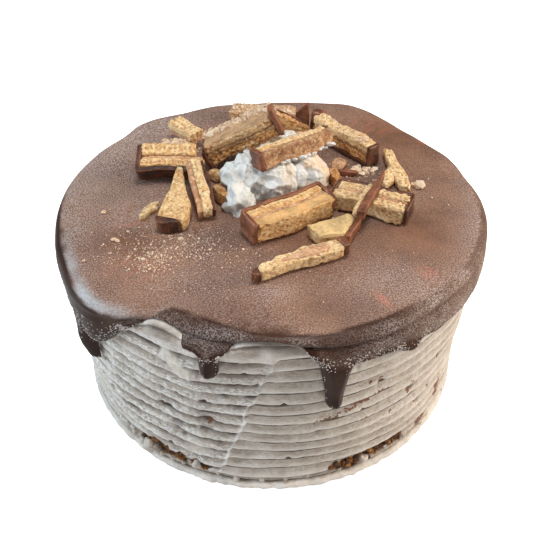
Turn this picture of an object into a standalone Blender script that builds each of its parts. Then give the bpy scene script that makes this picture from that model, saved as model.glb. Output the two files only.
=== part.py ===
"""Round ice cream cake at real size, for Blender 4.5.

A comb-ridged frosting drum stands on a cookie crumb base. A chocolate ganache cap lies on it, with a
draped rim and drips. On top are a whipped cream dollop and broken, chocolate-coated wafer bars.
Lengths below are millimetres, and METRE turns them into Blender's metres. Positions are from the
drum's axis and the underside, which AXIS_PLACE sets so that the origin is the middle of the whole
cake's outline. +Z is up, and the cake's front is at -Y.
"""

import math
import random

import bmesh
import bpy
from mathutils import Euler, Matrix, Vector

METRE = 0.001
GAP = 0.3
# Where the drum's axis stands, so that the origin is the middle of the whole cake's outline
AXIS_PLACE = (0.28, -1.88)

# The drum: its foot's bead stands out by FOOT_BEAD, and each comb ridge is a crest over a hollow
FROSTING_RADIUS = 75.6
FROSTING_TOP = 68.0
FROSTING_FOOT = 0.4
SHOULDER = 1.6
SHOULDER_ROUND = 0.3
FOOT_BEAD = 2.0
FOOT_HEIGHT = 1.8
FOOT_ROUND = 0.9
FOOT_TOP = 3.0
RIDGES = 13
RIDGE_DEPTH = 1.3
FIRST_CREST = FROSTING_TOP - SHOULDER - 1.6
HOLLOW_DROP = 0.45
RIDGE_PITCH = (FROSTING_TOP - SHOULDER - FROSTING_FOOT - 2) / RIDGES
WAVE = 0.55
DENT = 0.35
DRUM_STEPS = 64

# The crumb base, in a recess under the drum
RECESS_RADIUS = 73.3
BASE_HEIGHT = 11.0
BASE_RADIUS = RECESS_RADIUS - GAP
BASE_RINGS = (8.6, 5.4, 2.4)
BASE_ROUND = (0.8, 0.5)
BASE_ROUGH = 0.9

# The ganache cap
TOP = 72.0
CAP_RADIUS = 78.0
CAP_EDGE = 67.4
CAP_INNER = FROSTING_RADIUS + GAP + 0.05
HEM = 60.5
HEM_ROUND = 1.5
CAP_STEPS = 96
FLAT_RADIUS = 66.0
GROWTH_REACH = 10.0
# (radius, height) down the turned cap's side, from the middle of its top to the middle of its underside
CAP_PROFILE = (
    (0, TOP), (30, TOP), (FLAT_RADIUS, TOP), (72.5, TOP - 0.8), (76.2, TOP - 2.2), (CAP_RADIUS, CAP_EDGE),
    (CAP_RADIUS, HEM + HEM_ROUND), (CAP_RADIUS - 1.2, HEM), (CAP_RADIUS - 6, HEM + 0.5), (0, HEM + 0.5),
)

# (angle in degrees, outward growth, half width in degrees) of the cap's uneven outline
OUTLINE_SWELLS = (
    (66, 9.6, 9), (88, 3.4, 9), (110, 4.8, 8), (131, 6.2, 8), (148, 1.6, 7), (12, -0.8, 14),
    (-36, 0.8, 8), (-62, -0.6, 10), (-88, -4.6, 5.5), (-115, -4.8, 6.5), (-138, 3.6, 6),
)
# (angle, rise of the hem, half width) where the hem climbs or sags
HEM_WAVES = (
    (-141, -16.0, 6.5), (-115, 7.6, 7), (-102, -1.5, 4), (-88, 8.4, 6), (-75, -9.0, 2.6),
    (-58, -1.5, 4), (-12, 2.5, 9), (18, -3.0, 8), (60, -4.0, 7), (92, 3.0, 8),
    (128, -6.0, 6), (152, 3.5, 7), (176, -1.5, 8),
)
# (angle, height of the tip, width) of each drip
DRIPS = (
    (-142.5, 34.0, 8.0), (-103.6, 56.7, 6.4), (-75.4, 43.0, 7.2), (-57.0, 57.0, 8.0),
    (19.0, 47.0, 7.6), (58.0, 33.0, 8.6), (68.5, 50.0, 6.6), (101.0, 52.5, 6.8),
    (128.0, 39.0, 8.2), (174.0, 50.5, 7.2),
)
DRIP_DEPTH = 2.5
DRIP_ROOT = 64.5
DRIP_NECK = 0.86

# (angle, half width) of the stretch where the foot's bead stands out
FOOT_FLARE = (-78, 48)
# (first angle, last angle, middle height, half height) of the gaps in the frosting at the foot
FOOT_GAPS = ((-131.0, -104.0, 5.6, 3.1), (-76.0, -44.0, 6.0, 2.6))
# The balls that cut a gap: degrees from one to the next, how far they bite in, and their ups and downs
BITE_STEP = 4
BITE_DEPTH = 4.2
BITE_LIFT = 0.7

# (centre, radii) of the lumps that make the whipped cream, with heights from the top of the cap
CREAM_LUMPS = (
    ((-12.5, -9.5, 2.0), (5.2, 7.0, 5.6)),
    ((-11.5, 3.0, 4.0), (7.2, 8.6, 8.6)),
    ((0.5, 5.0, 3.5), (11.5, 10.5, 9.6)),
    ((13.0, 7.5, 3.0), (8.2, 9.5, 9.0)),
    ((-3.0, 22.0, 3.0), (15.5, 11.5, 11.0)),
    ((8.0, 24.0, 2.5), (10.0, 9.0, 9.0)),
)

CHOCOLATE = (0.33, 0.20, 0.14)
WAFER = (0.85, 0.70, 0.49)
FILLING = (0.78, 0.60, 0.44)
COLOURS = {
    "frosting": ((0.78, 0.74, 0.70), 0.6),
    "crumb_base": ((0.36, 0.27, 0.20), 0.9),
    "ganache": ((0.53, 0.41, 0.35), 0.45),
    "cream": ((0.84, 0.83, 0.79), 0.55),
    "chocolate": (CHOCOLATE, 0.4),
    "wafer": (WAFER, 0.85),
    "filling": (FILLING, 0.7),
}

CAKE = bpy.data.collections.new("ice_cream_cake")
CUTTERS = bpy.data.collections.new("cutters")
AXIS = bpy.data.objects.new("cake_axis", None)


# ---------------------------------------------------------------- helpers
def clear_scene():
    """Empty the scene, and link the collections and the axis that carries the cake."""
    for item in [item for item in bpy.data.objects if item != AXIS]:
        bpy.data.objects.remove(item, do_unlink=True)
    bpy.context.scene.collection.children.link(CAKE)
    bpy.context.scene.collection.children.link(CUTTERS)
    AXIS.location = (AXIS_PLACE[0] * METRE, AXIS_PLACE[1] * METRE, 0)
    CAKE.objects.link(AXIS)


def linear(value):
    """sRGB value from 0 to 1 as linear light."""
    return value / 12.92 if value <= 0.04045 else ((value + 0.055) / 1.055) ** 2.4


def material(name, key):
    """Material of a kind of food, under the part's own name."""
    colour, roughness = COLOURS[key]
    result = bpy.data.materials.new(name)
    result.use_nodes = True
    shader = result.node_tree.nodes["Principled BSDF"]
    shader.inputs["Base Color"].default_value = (*[linear(c) for c in colour], 1)
    shader.inputs["Roughness"].default_value = roughness
    shader.inputs["Metallic"].default_value = 0
    return result


def add_object(name, mesh, key, parent=AXIS):
    """Link a mesh, modelled in millimetres, as a named part with its own material."""
    mesh.transform(Matrix.Scale(METRE, 4))
    mesh.materials.clear()
    mesh.materials.append(material(name, key))
    part = bpy.data.objects.new(name, mesh)
    part.parent = parent
    CAKE.objects.link(part)
    return part


def mesh_from(grid, name):
    """Turn a bmesh into a mesh with its faces pointing out."""
    bmesh.ops.recalc_face_normals(grid, faces=grid.faces)
    mesh = bpy.data.meshes.new(name)
    grid.to_mesh(mesh)
    grid.free()
    return mesh


def evaluated_mesh(item):
    """Mesh of an object with its modifiers carried out."""
    bpy.context.view_layer.update()
    graph = bpy.context.evaluated_depsgraph_get()
    return bpy.data.meshes.new_from_object(item.evaluated_get(graph))


def turned(name, profile, steps):
    """Turn a profile of (radius, height) pairs, listed down its outer side, into a solid mesh."""
    mesh = bpy.data.meshes.new(name)
    points = [(radius, 0, height) for radius, height in profile]
    edges = [(i, i + 1) for i in range(len(points) - 1)]
    mesh.from_pydata(points, edges, [])
    guide = bpy.data.objects.new(name + "_profile", mesh)
    CUTTERS.objects.link(guide)
    screw = guide.modifiers.new("turn", "SCREW")
    screw.axis = "Z"
    screw.steps = steps
    screw.render_steps = steps
    screw.use_merge_vertices = True
    screw.merge_threshold = 0.0001
    solid = evaluated_mesh(guide)
    bpy.data.objects.remove(guide, do_unlink=True)
    return solid


def boolean(name, base, operation, others):
    """Join base with, or cut it by, every mesh in others, and give back the result as a mesh."""
    group = bpy.data.collections.new(name + "_tools")
    bpy.context.scene.collection.children.link(group)
    for number, mesh in enumerate(others):
        tool = bpy.data.objects.new(f"{name}_tool_{number}", mesh)
        group.objects.link(tool)
    body = bpy.data.objects.new(name + "_body", base)
    CUTTERS.objects.link(body)
    cut = body.modifiers.new("join", "BOOLEAN")
    cut.operation = operation
    cut.operand_type = "COLLECTION"
    cut.collection = group
    cut.solver = "EXACT"
    result = evaluated_mesh(body)
    for tool in list(group.objects):
        bpy.data.objects.remove(tool, do_unlink=True)
    bpy.data.objects.remove(body, do_unlink=True)
    bpy.data.collections.remove(group)
    return result


def without_scraps(mesh):
    """Drop the loose slivers that a cut leaves beside the main body."""
    grid = bmesh.new()
    grid.from_mesh(mesh)
    bodies = []
    waiting = set(grid.verts)
    while waiting:
        body = {waiting.pop()}
        front = list(body)
        while front:
            near = {edge.other_vert(front[-1]) for edge in front[-1].link_edges} - body
            front.pop()
            front.extend(near)
            body |= near
        waiting -= body
        bodies.append(body)
    bodies.sort(key=len)
    scraps = [vertex for body in bodies[:-1] for vertex in body]
    bmesh.ops.delete(grid, geom=scraps, context="VERTS")
    grid.to_mesh(mesh)
    grid.free()
    return mesh


def ball(centre, radii, segments=12, rings=8):
    """Ellipsoid mesh from a sphere primitive."""
    grid = bmesh.new()
    bmesh.ops.create_uvsphere(grid, u_segments=segments, v_segments=rings, radius=1)
    bmesh.ops.transform(grid, matrix=Matrix.Diagonal((*radii, 1)), verts=grid.verts)
    bmesh.ops.translate(grid, vec=centre, verts=grid.verts)
    return mesh_from(grid, "ball")


def box_grid(low, high):
    """Box primitive between two corners."""
    grid = bmesh.new()
    bmesh.ops.create_cube(grid, size=1)
    size = Vector(high) - Vector(low)
    middle = (Vector(high) + Vector(low)) / 2
    bmesh.ops.transform(grid, matrix=Matrix.Diagonal((*size, 1)), verts=grid.verts)
    bmesh.ops.translate(grid, vec=middle, verts=grid.verts)
    return grid


def bell(angle, centre, half_width):
    """Smooth bump that is 1 at centre and fades out over half_width degrees, round the circle."""
    away = (angle - centre + 180) % 360 - 180
    return math.exp(-((away / half_width) ** 2))


def smooth(value):
    """Smooth step from 0 to 1: 3v^2 - 2v^3 of a value held between 0 and 1."""
    value = min(max(value, 0), 1)
    return value * value * (3 - 2 * value)


# ---------------------------------------------------------------- drum
def frosting_profile():
    """Side of the drum from its shoulder down: each ridge is a sharp crest over a soft hollow."""
    points = [(0, FROSTING_TOP), (FROSTING_RADIUS - SHOULDER, FROSTING_TOP)]
    points.append((FROSTING_RADIUS - SHOULDER_ROUND, FROSTING_TOP - SHOULDER))
    for ridge in range(RIDGES):
        crest = FIRST_CREST - ridge * RIDGE_PITCH
        hollow = crest + 0.6 - HOLLOW_DROP * RIDGE_PITCH
        points.append((FROSTING_RADIUS, crest))
        points.append((FROSTING_RADIUS - RIDGE_DEPTH, hollow))
    points.append((FROSTING_RADIUS + FOOT_BEAD, FROSTING_FOOT + FOOT_HEIGHT))
    points.append((FROSTING_RADIUS + FOOT_BEAD - FOOT_ROUND, FROSTING_FOOT))
    points.append((RECESS_RADIUS, FROSTING_FOOT))
    points.append((RECESS_RADIUS, BASE_HEIGHT + GAP))
    points.append((0, BASE_HEIGHT + GAP))
    return points


def frosting_wave(angle, height):
    """How far a comb line wanders up or down: the sum of two slow sines round the drum."""
    slow = math.sin(math.radians(3 * angle) + height / 17)
    quick = 0.6 * math.sin(math.radians(7 * angle) - height / 9)
    return WAVE * (slow + quick)


def make_frosting():
    """Turned drum whose side waves and dents slightly, with two ragged gaps bitten out at its foot."""
    solid = turned("frosting", frosting_profile(), DRUM_STEPS)
    side_radius = RECESS_RADIUS + 0.5
    for vertex in solid.vertices:
        x, y, z = vertex.co
        radius = math.hypot(x, y)
        angle = math.degrees(math.atan2(y, x))
        inward = 0
        if radius > side_radius and z < FOOT_TOP:
            inward = (FOOT_BEAD - GAP) * (1 - bell(angle, *FOOT_FLARE))
        elif radius > side_radius and z < FIRST_CREST + 1:
            inward = DENT * (1 + math.sin(math.radians(5 * angle) + z / 6))
            z += frosting_wave(angle, z)
        if radius > 1:
            vertex.co = (x * (1 - inward / radius), y * (1 - inward / radius), z)
    gaps = []
    for first, last, middle, half in FOOT_GAPS:
        count = round((last - first) / BITE_STEP)
        for number in range(count + 1):
            angle = math.radians(first + (last - first) * number / count)
            lift = BITE_LIFT * math.sin(2.4 * number)
            tall = half * (0.72 + 0.28 * math.sin(math.pi * number / count))
            centre = (FROSTING_RADIUS * math.cos(angle), FROSTING_RADIUS * math.sin(angle), middle + lift)
            gaps.append(ball(centre, (BITE_DEPTH, BITE_DEPTH, tall), 8, 6))
    add_object("frosting", boolean("frosting", solid, "DIFFERENCE", gaps), "frosting")


def make_crumb_base():
    """Cookie crumb disc in the frosting's recess, with a rough side."""
    profile = [(0, BASE_HEIGHT), (BASE_RADIUS - BASE_ROUND[0], BASE_HEIGHT)]
    profile += [(BASE_RADIUS, height) for height in BASE_RINGS]
    profile += [(BASE_RADIUS - BASE_ROUND[1], 0), (0, 0)]
    solid = turned("crumb_base", profile, DRUM_STEPS)
    chance = random.Random(5)
    for vertex in solid.vertices:
        x, y, z = vertex.co
        if math.hypot(x, y) > BASE_RADIUS - 1 and 1 < z < BASE_HEIGHT - 1:
            inward = 1 - chance.uniform(0, BASE_ROUGH) / BASE_RADIUS
            vertex.co = (x * inward, y * inward, z)
    add_object("crumb_base", solid, "crumb_base")


# ---------------------------------------------------------------- ganache
def outline_growth(angle):
    """How far the cap's outline stands out beyond its radius at an angle."""
    return sum(size * bell(angle, centre, width) for centre, size, width in OUTLINE_SWELLS)


def hem_height(angle):
    """Height of the cap's lower edge at an angle."""
    return HEM + sum(size * bell(angle, centre, width) for centre, size, width in HEM_WAVES)


def make_ganache():
    """Cap turned as a full puck, warped to its outline and hem, joined with drips and hollowed."""
    puck = turned("ganache", CAP_PROFILE, CAP_STEPS)
    for vertex in puck.vertices:
        x, y, z = vertex.co
        radius = math.hypot(x, y)
        if radius < FLAT_RADIUS - 1:
            continue
        angle = math.degrees(math.atan2(y, x))
        grown = radius + smooth((radius - FLAT_RADIUS) / GROWTH_REACH) * outline_growth(angle)
        if z < CAP_EDGE:
            share = (CAP_EDGE - z) / (CAP_EDGE - HEM)
            z = CAP_EDGE - share * (CAP_EDGE - min(hem_height(angle), CAP_EDGE - 0.6))
        vertex.co = (x * grown / radius, y * grown / radius, z)
    whole = boolean("ganache", puck, "UNION", [drip(*values) for values in DRIPS])
    core_profile = [(0, FROSTING_TOP + GAP), (CAP_INNER, FROSTING_TOP + GAP), (CAP_INNER, -5), (0, -5)]
    core = turned("core", core_profile, DRUM_STEPS)
    hollowed = boolean("ganache", whole, "DIFFERENCE", [core])
    add_object("ganache", without_scraps(hollowed), "ganache")


def drip(angle, tip, width):
    """Long drop with a round lower end, standing half out of the drum's side."""
    grid = bmesh.new()
    bmesh.ops.create_uvsphere(grid, u_segments=12, v_segments=8, radius=1)
    for vertex in grid.verts:
        x, y, z = vertex.co
        in_drop = z < 0.1
        half = width / 2 * (1 if in_drop else DRIP_NECK)
        height = tip + width * 0.55 * (1 + z) if in_drop else DRIP_ROOT + z
        vertex.co = (x * DRIP_DEPTH, y * half, height)
    turn = Matrix.Rotation(math.radians(angle), 4, "Z") @ Matrix.Translation((FROSTING_RADIUS + 0.5, 0, 0))
    bmesh.ops.transform(grid, matrix=turn, verts=grid.verts)
    return mesh_from(grid, "drip")


# ---------------------------------------------------------------- wafer bars
class Bar:
    """A broken bar: layers and coat in its own frame, slightly bent along its length.

    The frame's x runs along the bar, and its layers are stacked along y or z. Bar positions are
    given from the top of the cap.
    """

    STATION = 4.0

    def __init__(self, name, centre, turn, bend=0.35, seed=0):
        self.name = name
        self.bend = bend
        self.phase = 1.7 * seed
        self.frame = bpy.data.objects.new(name + "_frame", None)
        self.frame.location = Vector((centre[0], centre[1], TOP + centre[2])) * METRE
        yaw, pitch, roll = (math.radians(value) for value in turn)
        self.frame.rotation_euler = Euler((roll, pitch, yaw), "XYZ")
        self.frame.parent = AXIS
        CAKE.objects.link(self.frame)

    def shape(self, point):
        """Bend and swell of the bar at a point, the same for all of its layers."""
        x, y, z = point
        side = self.bend * math.sin(0.21 * x + self.phase)
        lift = 0.4 * self.bend * math.sin(0.27 * x + 2 * self.phase)
        swell = 1 + 0.04 * math.sin(0.33 * x + 3 * self.phase)
        return (x, y * swell + side, z * swell + lift)

    def finish(self, name, grid, key):
        """Cut a solid at the bar's stations, bend it and add it to the cake."""
        reach = max(abs(vertex.co.x) for vertex in grid.verts)
        count = int(reach / self.STATION)
        for number in range(-count, count + 1):
            everything = list(grid.verts) + list(grid.edges) + list(grid.faces)
            plane = (number * self.STATION, 0, 0)
            bmesh.ops.bisect_plane(grid, geom=everything, dist=0.0001, plane_co=plane, plane_no=(1, 0, 0))
        for vertex in grid.verts:
            vertex.co = self.shape(vertex.co)
        bmesh.ops.triangulate(grid, faces=grid.faces)
        return add_object(f"{self.name}_{name}", mesh_from(grid, name), key, self.frame)

    def block(self, name, low, high, key):
        """Layer between two corners of the bar's own frame."""
        return self.finish(name, box_grid(low, high), key)

    def prism(self, name, outline, axis, low, high, key):
        """Solid with an outline of (x, other) pairs that runs from low to high along y or z."""
        grid = bmesh.new()
        if axis == "z":
            ring = [grid.verts.new((x, other, low)) for x, other in outline]
            push = (0, 0, high - low)
        else:
            ring = [grid.verts.new((x, low, other)) for x, other in outline]
            push = (0, high - low, 0)
        face = grid.faces.new(ring)
        made = bmesh.ops.extrude_face_region(grid, geom=[face])
        moved = [item for item in made["geom"] if isinstance(item, bmesh.types.BMVert)]
        bmesh.ops.translate(grid, vec=push, verts=moved)
        bmesh.ops.recalc_face_normals(grid, faces=grid.faces)
        return self.finish(name, grid, key)


def coat_outline(length, low, high, wall, left, right):
    """Outline of a coat in a plane along the bar: a back wall at high, with walls at its ends."""
    outer = [(-length / 2, low), (-length / 2, high), (length / 2, high), (length / 2, low)]
    inner = [(length / 2 - wall, low), (length / 2 - wall, high - wall)]
    inner += [(-length / 2 + wall, high - wall), (-length / 2 + wall, low)]
    if not right:
        outer[3] = (length / 2, high - wall)
        inner = inner[2:]
    if not left:
        outer[0] = (-length / 2, high - wall)
        inner = inner[:2]
    return outer + inner


def left_bar():
    """Two layered pieces that lie on their side, with the chocolate face to the front."""
    bar = Bar("left_bar", (-37.6, 12.2, 6.5), (-2, -1, 29), seed=1)
    long, wide, thick, wall = 25.3, 11.8, 6.3, 1.9
    outline = coat_outline(long, -wide / 2, wide / 2, wall, True, False)
    flipped = [(x, -y) for x, y in reversed(outline)]
    bar.prism("coat", flipped, "z", -thick / 2, thick / 2, "chocolate")
    start = -long / 2 + wall + GAP
    bar.block("front_wafer", (start, -wide / 2 + 2.2, -3.1), (long / 2, -0.9, 3.0), "wafer")
    bar.block("filling", (start, -0.6, -3.0), (long / 2 - 0.6, 0.9, 2.4), "filling")
    bar.block("back_wafer", (start, 1.2, -3.1), (long / 2 - 3.4, wide / 2, 3.3), "wafer")


def back_left_chip():
    """Small tilted chip at the back left, wafer over filling."""
    bar = Bar("back_left_chip", (-35.1, 40.6, 5.3), (-46, -14, 20), 0.2, seed=2)
    bar.block("wafer", (-7.3, -3.2, -0.5), (7.3, 3.2, 2.35), "wafer")
    bar.block("filling", (-6.6, -3.0, -2.35), (7.6, 3.1, -0.8), "filling")


def left_wedge():
    """Wedge of plain wafer that leans on the left bar, with a chocolate end to the front."""
    bar = Bar("left_wedge", (-31.8, -11.4, 4.35), (88, -6, 0), 0.2, seed=3)
    outline = [(-11.5, 6.0), (15.8, 2.9), (16.6, 0.9), (10.0, -0.5), (0.0, -2.6), (-4.0, -4.2), (-11.5, -4.6)]
    bar.prism("wafer", outline, "z", -2.5, 2.5, "wafer")
    cap = [(-13.4, 6.4), (-11.8, 6.5), (-11.8, -5.1), (-13.6, -4.6), (-14.4, 1.0)]
    bar.prism("coat", cap, "z", -2.7, 2.4, "chocolate")


def left_stick():
    """Narrow stick that leans on the left bar: filling, wafer and a coated side."""
    bar = Bar("left_stick", (-24.5, -6.3, 6.4), (-76, 15, 0), 0.2, seed=4)
    bar.block("filling", (-12.5, -3.1, -2.0), (12.6, -1.1, 1.5), "filling")
    bar.block("wafer", (-12.7, -0.8, -2.1), (12.8, 1.5, 2.1), "wafer")
    bar.block("coat", (-12.2, 1.8, -2.1), (12.4, 3.1, 1.9), "chocolate")


def top_chunk():
    """The largest chunk, raised on the cream, with an upright coated end."""
    bar = Bar("top_chunk", (-11.2, 23.2, 12.2), (0, -26, 2), 0.3, seed=5)
    bar.block("top_wafer", (-14.4, -6.4, 0.9), (14.2, 6.0, 4.35), "wafer")
    bar.block("filling", (-14.4, -6.2, -0.6), (14.2, 6.0, 0.6), "filling")
    bar.block("low_wafer", (-14.4, -6.4, -4.35), (14.2, 5.6, -0.9), "wafer")
    bar.block("left_coat", (-16.2, -6.4, -4.35), (-14.7, 5.6, 2.6), "chocolate")
    bar.block("end_coat", (14.5, -6.6, -4.6), (16.2, -1.6, 7.4), "chocolate")


def back_strip():
    """Flat strip at the very back, wafer over filling."""
    bar = Bar("back_strip", (-3.4, 60.4, 2.85), (-5, 0, 0), 0.25, seed=6)
    bar.block("wafer", (-14.2, -4.8, -0.6), (14.2, 4.8, 2.5), "wafer")
    bar.block("filling", (-13.8, -4.7, -2.4), (14.0, 4.7, -0.9), "filling")


def back_chips():
    """Chocolate pieces and a slanting wafer slab between the back strip and the right bars."""
    chip = Bar("back_chip", (13.6, 50.6, 6.9), (-24, 0, 0), 0.1, seed=7)
    triangle = [(-3.0, -6.6), (2.4, -6.6), (2.6, 6.2), (1.6, 6.6), (-3.2, 1.0)]
    chip.prism("coat", triangle, "y", -0.9, 0.9, "chocolate")
    lump = Bar("back_lump", (20.0, 50.2, 4.9), (-30, 0, 0), 0.2, seed=8)
    lump.block("coat", (-2.6, -2.4, -4.4), (2.6, 2.4, 4.4), "chocolate")
    slab = Bar("back_slab", (9.6, 43.4, 4.8), (-3, 0, -8), 0.2, seed=9)
    slanting = [(-7.4, -4.1), (6.8, -4.1), (6.8, 0.4), (-7.4, 7.2)]
    slab.prism("wafer", slanting, "y", -2.6, 0.9, "wafer")
    edge = [(-7.4, -3.9), (6.6, -3.9), (6.6, 0.9), (-7.2, 7.7)]
    slab.prism("coat", edge, "y", 1.2, 2.4, "chocolate")


def cream_bar():
    """Bar that lies on the cream, with its coated end to the left."""
    bar = Bar("cream_bar", (8.2, 7.3, 15.0), (34, -1, -10), 0.3, seed=10)
    bar.block("filling", (-14.2, -3.3, -3.3), (15.9, -0.4, 2.9), "filling")
    bar.block("wafer", (-14.0, -0.1, -3.1), (15.0, 3.3, 3.2), "wafer")
    bar.block("left_coat", (-16.3, -3.4, -3.3), (-14.5, 3.3, 3.2), "chocolate")
    bar.block("right_coat", (15.3, 0.2, -2.8), (16.6, 3.3, 3.1), "chocolate")


def right_back_bar():
    """Bar at the back right that lies on its coated side."""
    bar = Bar("right_back_bar", (29.8, 32.0, 5.25), (-52, 1, 2), 0.3, seed=11)
    long, tall, wall = 33, 9.2, 1.6
    outline = coat_outline(long, -tall / 2, tall / 2, wall, False, True)
    flipped = [(x, -z) for x, z in reversed(outline)]
    bar.block("low_wafer", (-16.5, -3.0, -2.7), (14.6, 3.0, 0.2), "wafer")
    bar.block("filling", (-16.0, -2.4, 0.5), (14.6, 3.0, 1.4), "filling")
    bar.block("top_wafer", (-16.3, -3.0, 1.7), (14.6, 2.9, 4.4), "wafer")
    bar.prism("coat", flipped, "y", -3.0, 3.0, "chocolate")


def right_bar():
    """Layered bar that lies flat, coated at both ends and along its back."""
    bar = Bar("right_bar", (35.4, -10.4, 3.55), (-24, 0, 0), 0.3, seed=12)
    long, wide, thick, wall = 28.4, 11.6, 6.2, 1.4
    outline = coat_outline(long, -wide / 2 + 0.4, wide / 2, wall, True, True)
    bar.prism("coat", outline, "z", -thick / 2, thick / 2, "chocolate")
    end = long / 2 - wall - GAP
    bar.block("back_wafer", (-end, 0.5, -3.0), (end, wide / 2 - wall - GAP, 3.0), "wafer")
    bar.block("filling", (-end, -1.2, -2.8), (end, 0.2, 2.5), "filling")
    bar.block("front_wafer", (-end, -wide / 2, -3.0), (end, -1.5, 2.8), "wafer")


def right_stick():
    """Thin chocolate stick that lies across the right bar, with a sliver of wafer on it."""
    bar = Bar("right_stick", (34.9, -13.6, 8.55), (66, -3, 0), 0.2, seed=13)
    bar.block("coat", (-13.4, -1.3, -1.8), (13.2, 1.2, 1.7), "chocolate")
    bar.block("wafer", (-13.0, 1.5, -1.7), (8.0, 2.9, 1.1), "wafer")


def front_bar():
    """The bar nearest the front of the cream: two wafers, filling and a coat at back and ends."""
    bar = Bar("front_bar", (6.0, -20.4, 5.2), (33, 0, 7), 0.3, seed=14)
    long, wide, thick, wall = 32.6, 10.6, 8.4, 1.6
    outline = coat_outline(long, -wide / 2 + 0.5, wide / 2, wall, True, True)
    bar.prism("coat", outline, "z", -thick / 2, thick / 2, "chocolate")
    end = long / 2 - wall - GAP
    bar.block("back_wafer", (-end, 0.7, -4.1), (end, wide / 2 - wall - GAP, 4.0), "wafer")
    bar.block("filling", (-end, -1.0, -4.0), (end, 0.4, 3.5), "filling")
    bar.block("front_wafer", (-end, -wide / 2, -4.1), (end, -1.3, 4.1), "wafer")


def front_lens():
    """Flat lens-shaped wafer with a coated right edge."""
    bar = Bar("front_lens", (20.9, -26.6, 2.8), (0, 0, 0), 0.1, seed=15)
    outline = [(-8.9, -0.6), (-4.8, 2.2), (1.6, 4.6), (5.0, 6.6), (7.6, 4.4), (3.0, -5.6), (-5.2, -6.6)]
    bar.prism("wafer", outline, "z", -2.4, 2.1, "wafer")
    edge = [(8.0, 4.4), (10.2, 5.0), (7.4, -1.2), (4.8, -6.4), (3.4, -5.8)]
    bar.prism("coat", edge, "z", -2.4, 1.7, "chocolate")


def front_stick():
    """Long low stick at the front, with filling on top and coated ends."""
    bar = Bar("front_stick", (9.4, -42.3, 3.0), (26, 0, 0), 0.45, seed=16)
    bar.block("wafer", (-14.6, -2.7, -2.5), (14.0, 2.9, 0.9), "wafer")
    bar.block("filling", (-7.5, -2.5, 1.2), (12.5, 2.2, 2.2), "filling")
    bar.block("left_coat", (-17.6, -2.7, -2.5), (-14.9, 2.8, 2.0), "chocolate")
    bar.block("right_coat", (14.3, -2.8, -2.5), (16.6, 3.0, 2.3), "chocolate")


def loose_pieces():
    """Broken bits that lie round the bars."""
    forked = Bar("forked_wafer", (47.6, 13.4, 1.9), (0, 0, 0), 0.1, seed=17)
    outline = [(-2.6, 15.6), (0.9, 14.6), (1.6, 5.0), (3.6, -4.0), (3.6, -13.6), (0.4, -14.4)]
    outline += [(-1.4, -9.0), (-5.2, -12.6), (-6.4, -6.6), (-3.4, -1.4), (-1.6, 0.6), (-2.6, 7.0)]
    forked.prism("wafer", outline, "z", -1.5, 1.5, "wafer")
    pieces = (
        ("round_flake", (26.8, 19.6, 1.45), 60, (3.4, 2.6, 1.3), "filling"),
        ("cocoa_rod", (29.4, 12.6, 1.25), -8, (4.0, 1.0, 1.1), "chocolate"),
        ("small_wafer", (23.8, 7.4, 2.5), -72, (4.4, 1.6, 2.6), "wafer"),
        ("hidden_wafer", (-18.2, -4.4, 2.6), -62, (5.0, 2.2, 2.7), "wafer"),
        ("pale_lump", (-20.4, 9.6, 1.95), -40, (3.2, 2.3, 1.9), "wafer"),
        ("crumb_heap", (-38.2, 30.0, 2.5), 0, (6.0, 3.6, 2.6), "wafer"),
        ("left_flake", (-43.0, -13.4, 1.2), 62, (5.4, 2.2, 1.1), "wafer"),
    )
    for seed, (name, centre, yaw, half, key) in enumerate(pieces, 18):
        chunk(name, centre, yaw, half, key, seed)


def chunk(name, centre, yaw, half, key, seed):
    """Rough crumb: a sphere primitive of few sides, squared off and pushed about."""
    frame = Bar(name, centre, (yaw, 0, 0), 0.1, seed)
    chance = random.Random(seed)
    grid = bmesh.new()
    bmesh.ops.create_icosphere(grid, subdivisions=2, radius=1)
    for vertex in grid.verts:
        push = 1 + chance.uniform(-0.1, 0.1)
        flat = max(vertex.co.z, -0.8)
        square = [math.copysign(abs(value) ** 0.8, value) * push for value in (vertex.co.x, vertex.co.y)]
        vertex.co = (square[0] * half[0], square[1] * half[1], flat * half[2])
    add_object(name, mesh_from(grid, name), key, frame.frame)


# ---------------------------------------------------------------- cream
def grown_copy(part):
    """Convex outer shape of a part, pushed out along its normals by somewhat more than the gap."""
    bpy.context.view_layer.update()
    place = AXIS.matrix_world.inverted() @ part.matrix_world
    grid = bmesh.new()
    for vertex in part.data.vertices:
        grid.verts.new(place @ vertex.co / METRE)
    bmesh.ops.convex_hull(grid, input=grid.verts)
    inside = [vertex for vertex in grid.verts if not vertex.link_faces]
    bmesh.ops.delete(grid, geom=inside, context="VERTS")
    bmesh.ops.recalc_face_normals(grid, faces=grid.faces)
    grid.normal_update()
    for vertex, normal in [(vertex, vertex.normal.copy()) for vertex in grid.verts]:
        vertex.co += normal * GAP * 1.8
    return mesh_from(grid, part.name + "_dent")


def make_cream():
    """Dollop of rounded lumps, pressed in where the bars lie on it."""
    lumps = [ball((x, y, TOP + z), radii, 14, 10) for (x, y, z), radii in CREAM_LUMPS]
    whole = boolean("cream", lumps[0], "UNION", lumps[1:])
    floor = mesh_from(box_grid((-80, -80, TOP - 40), (80, 80, TOP + GAP)), "floor")
    around = [floor]
    dents = ("top_chunk", "cream_bar", "front_bar", "back_strip", "back_slab", "back_chip", "left_stick")
    dents += ("small_wafer", "pale_lump", "hidden_wafer", "left_bar")
    for part in CAKE.objects:
        if part.type == "MESH" and part.name.startswith(dents):
            around.append(grown_copy(part))
    pressed = boolean("cream", whole, "DIFFERENCE", around)
    add_object("cream", without_scraps(pressed), "cream")


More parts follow.
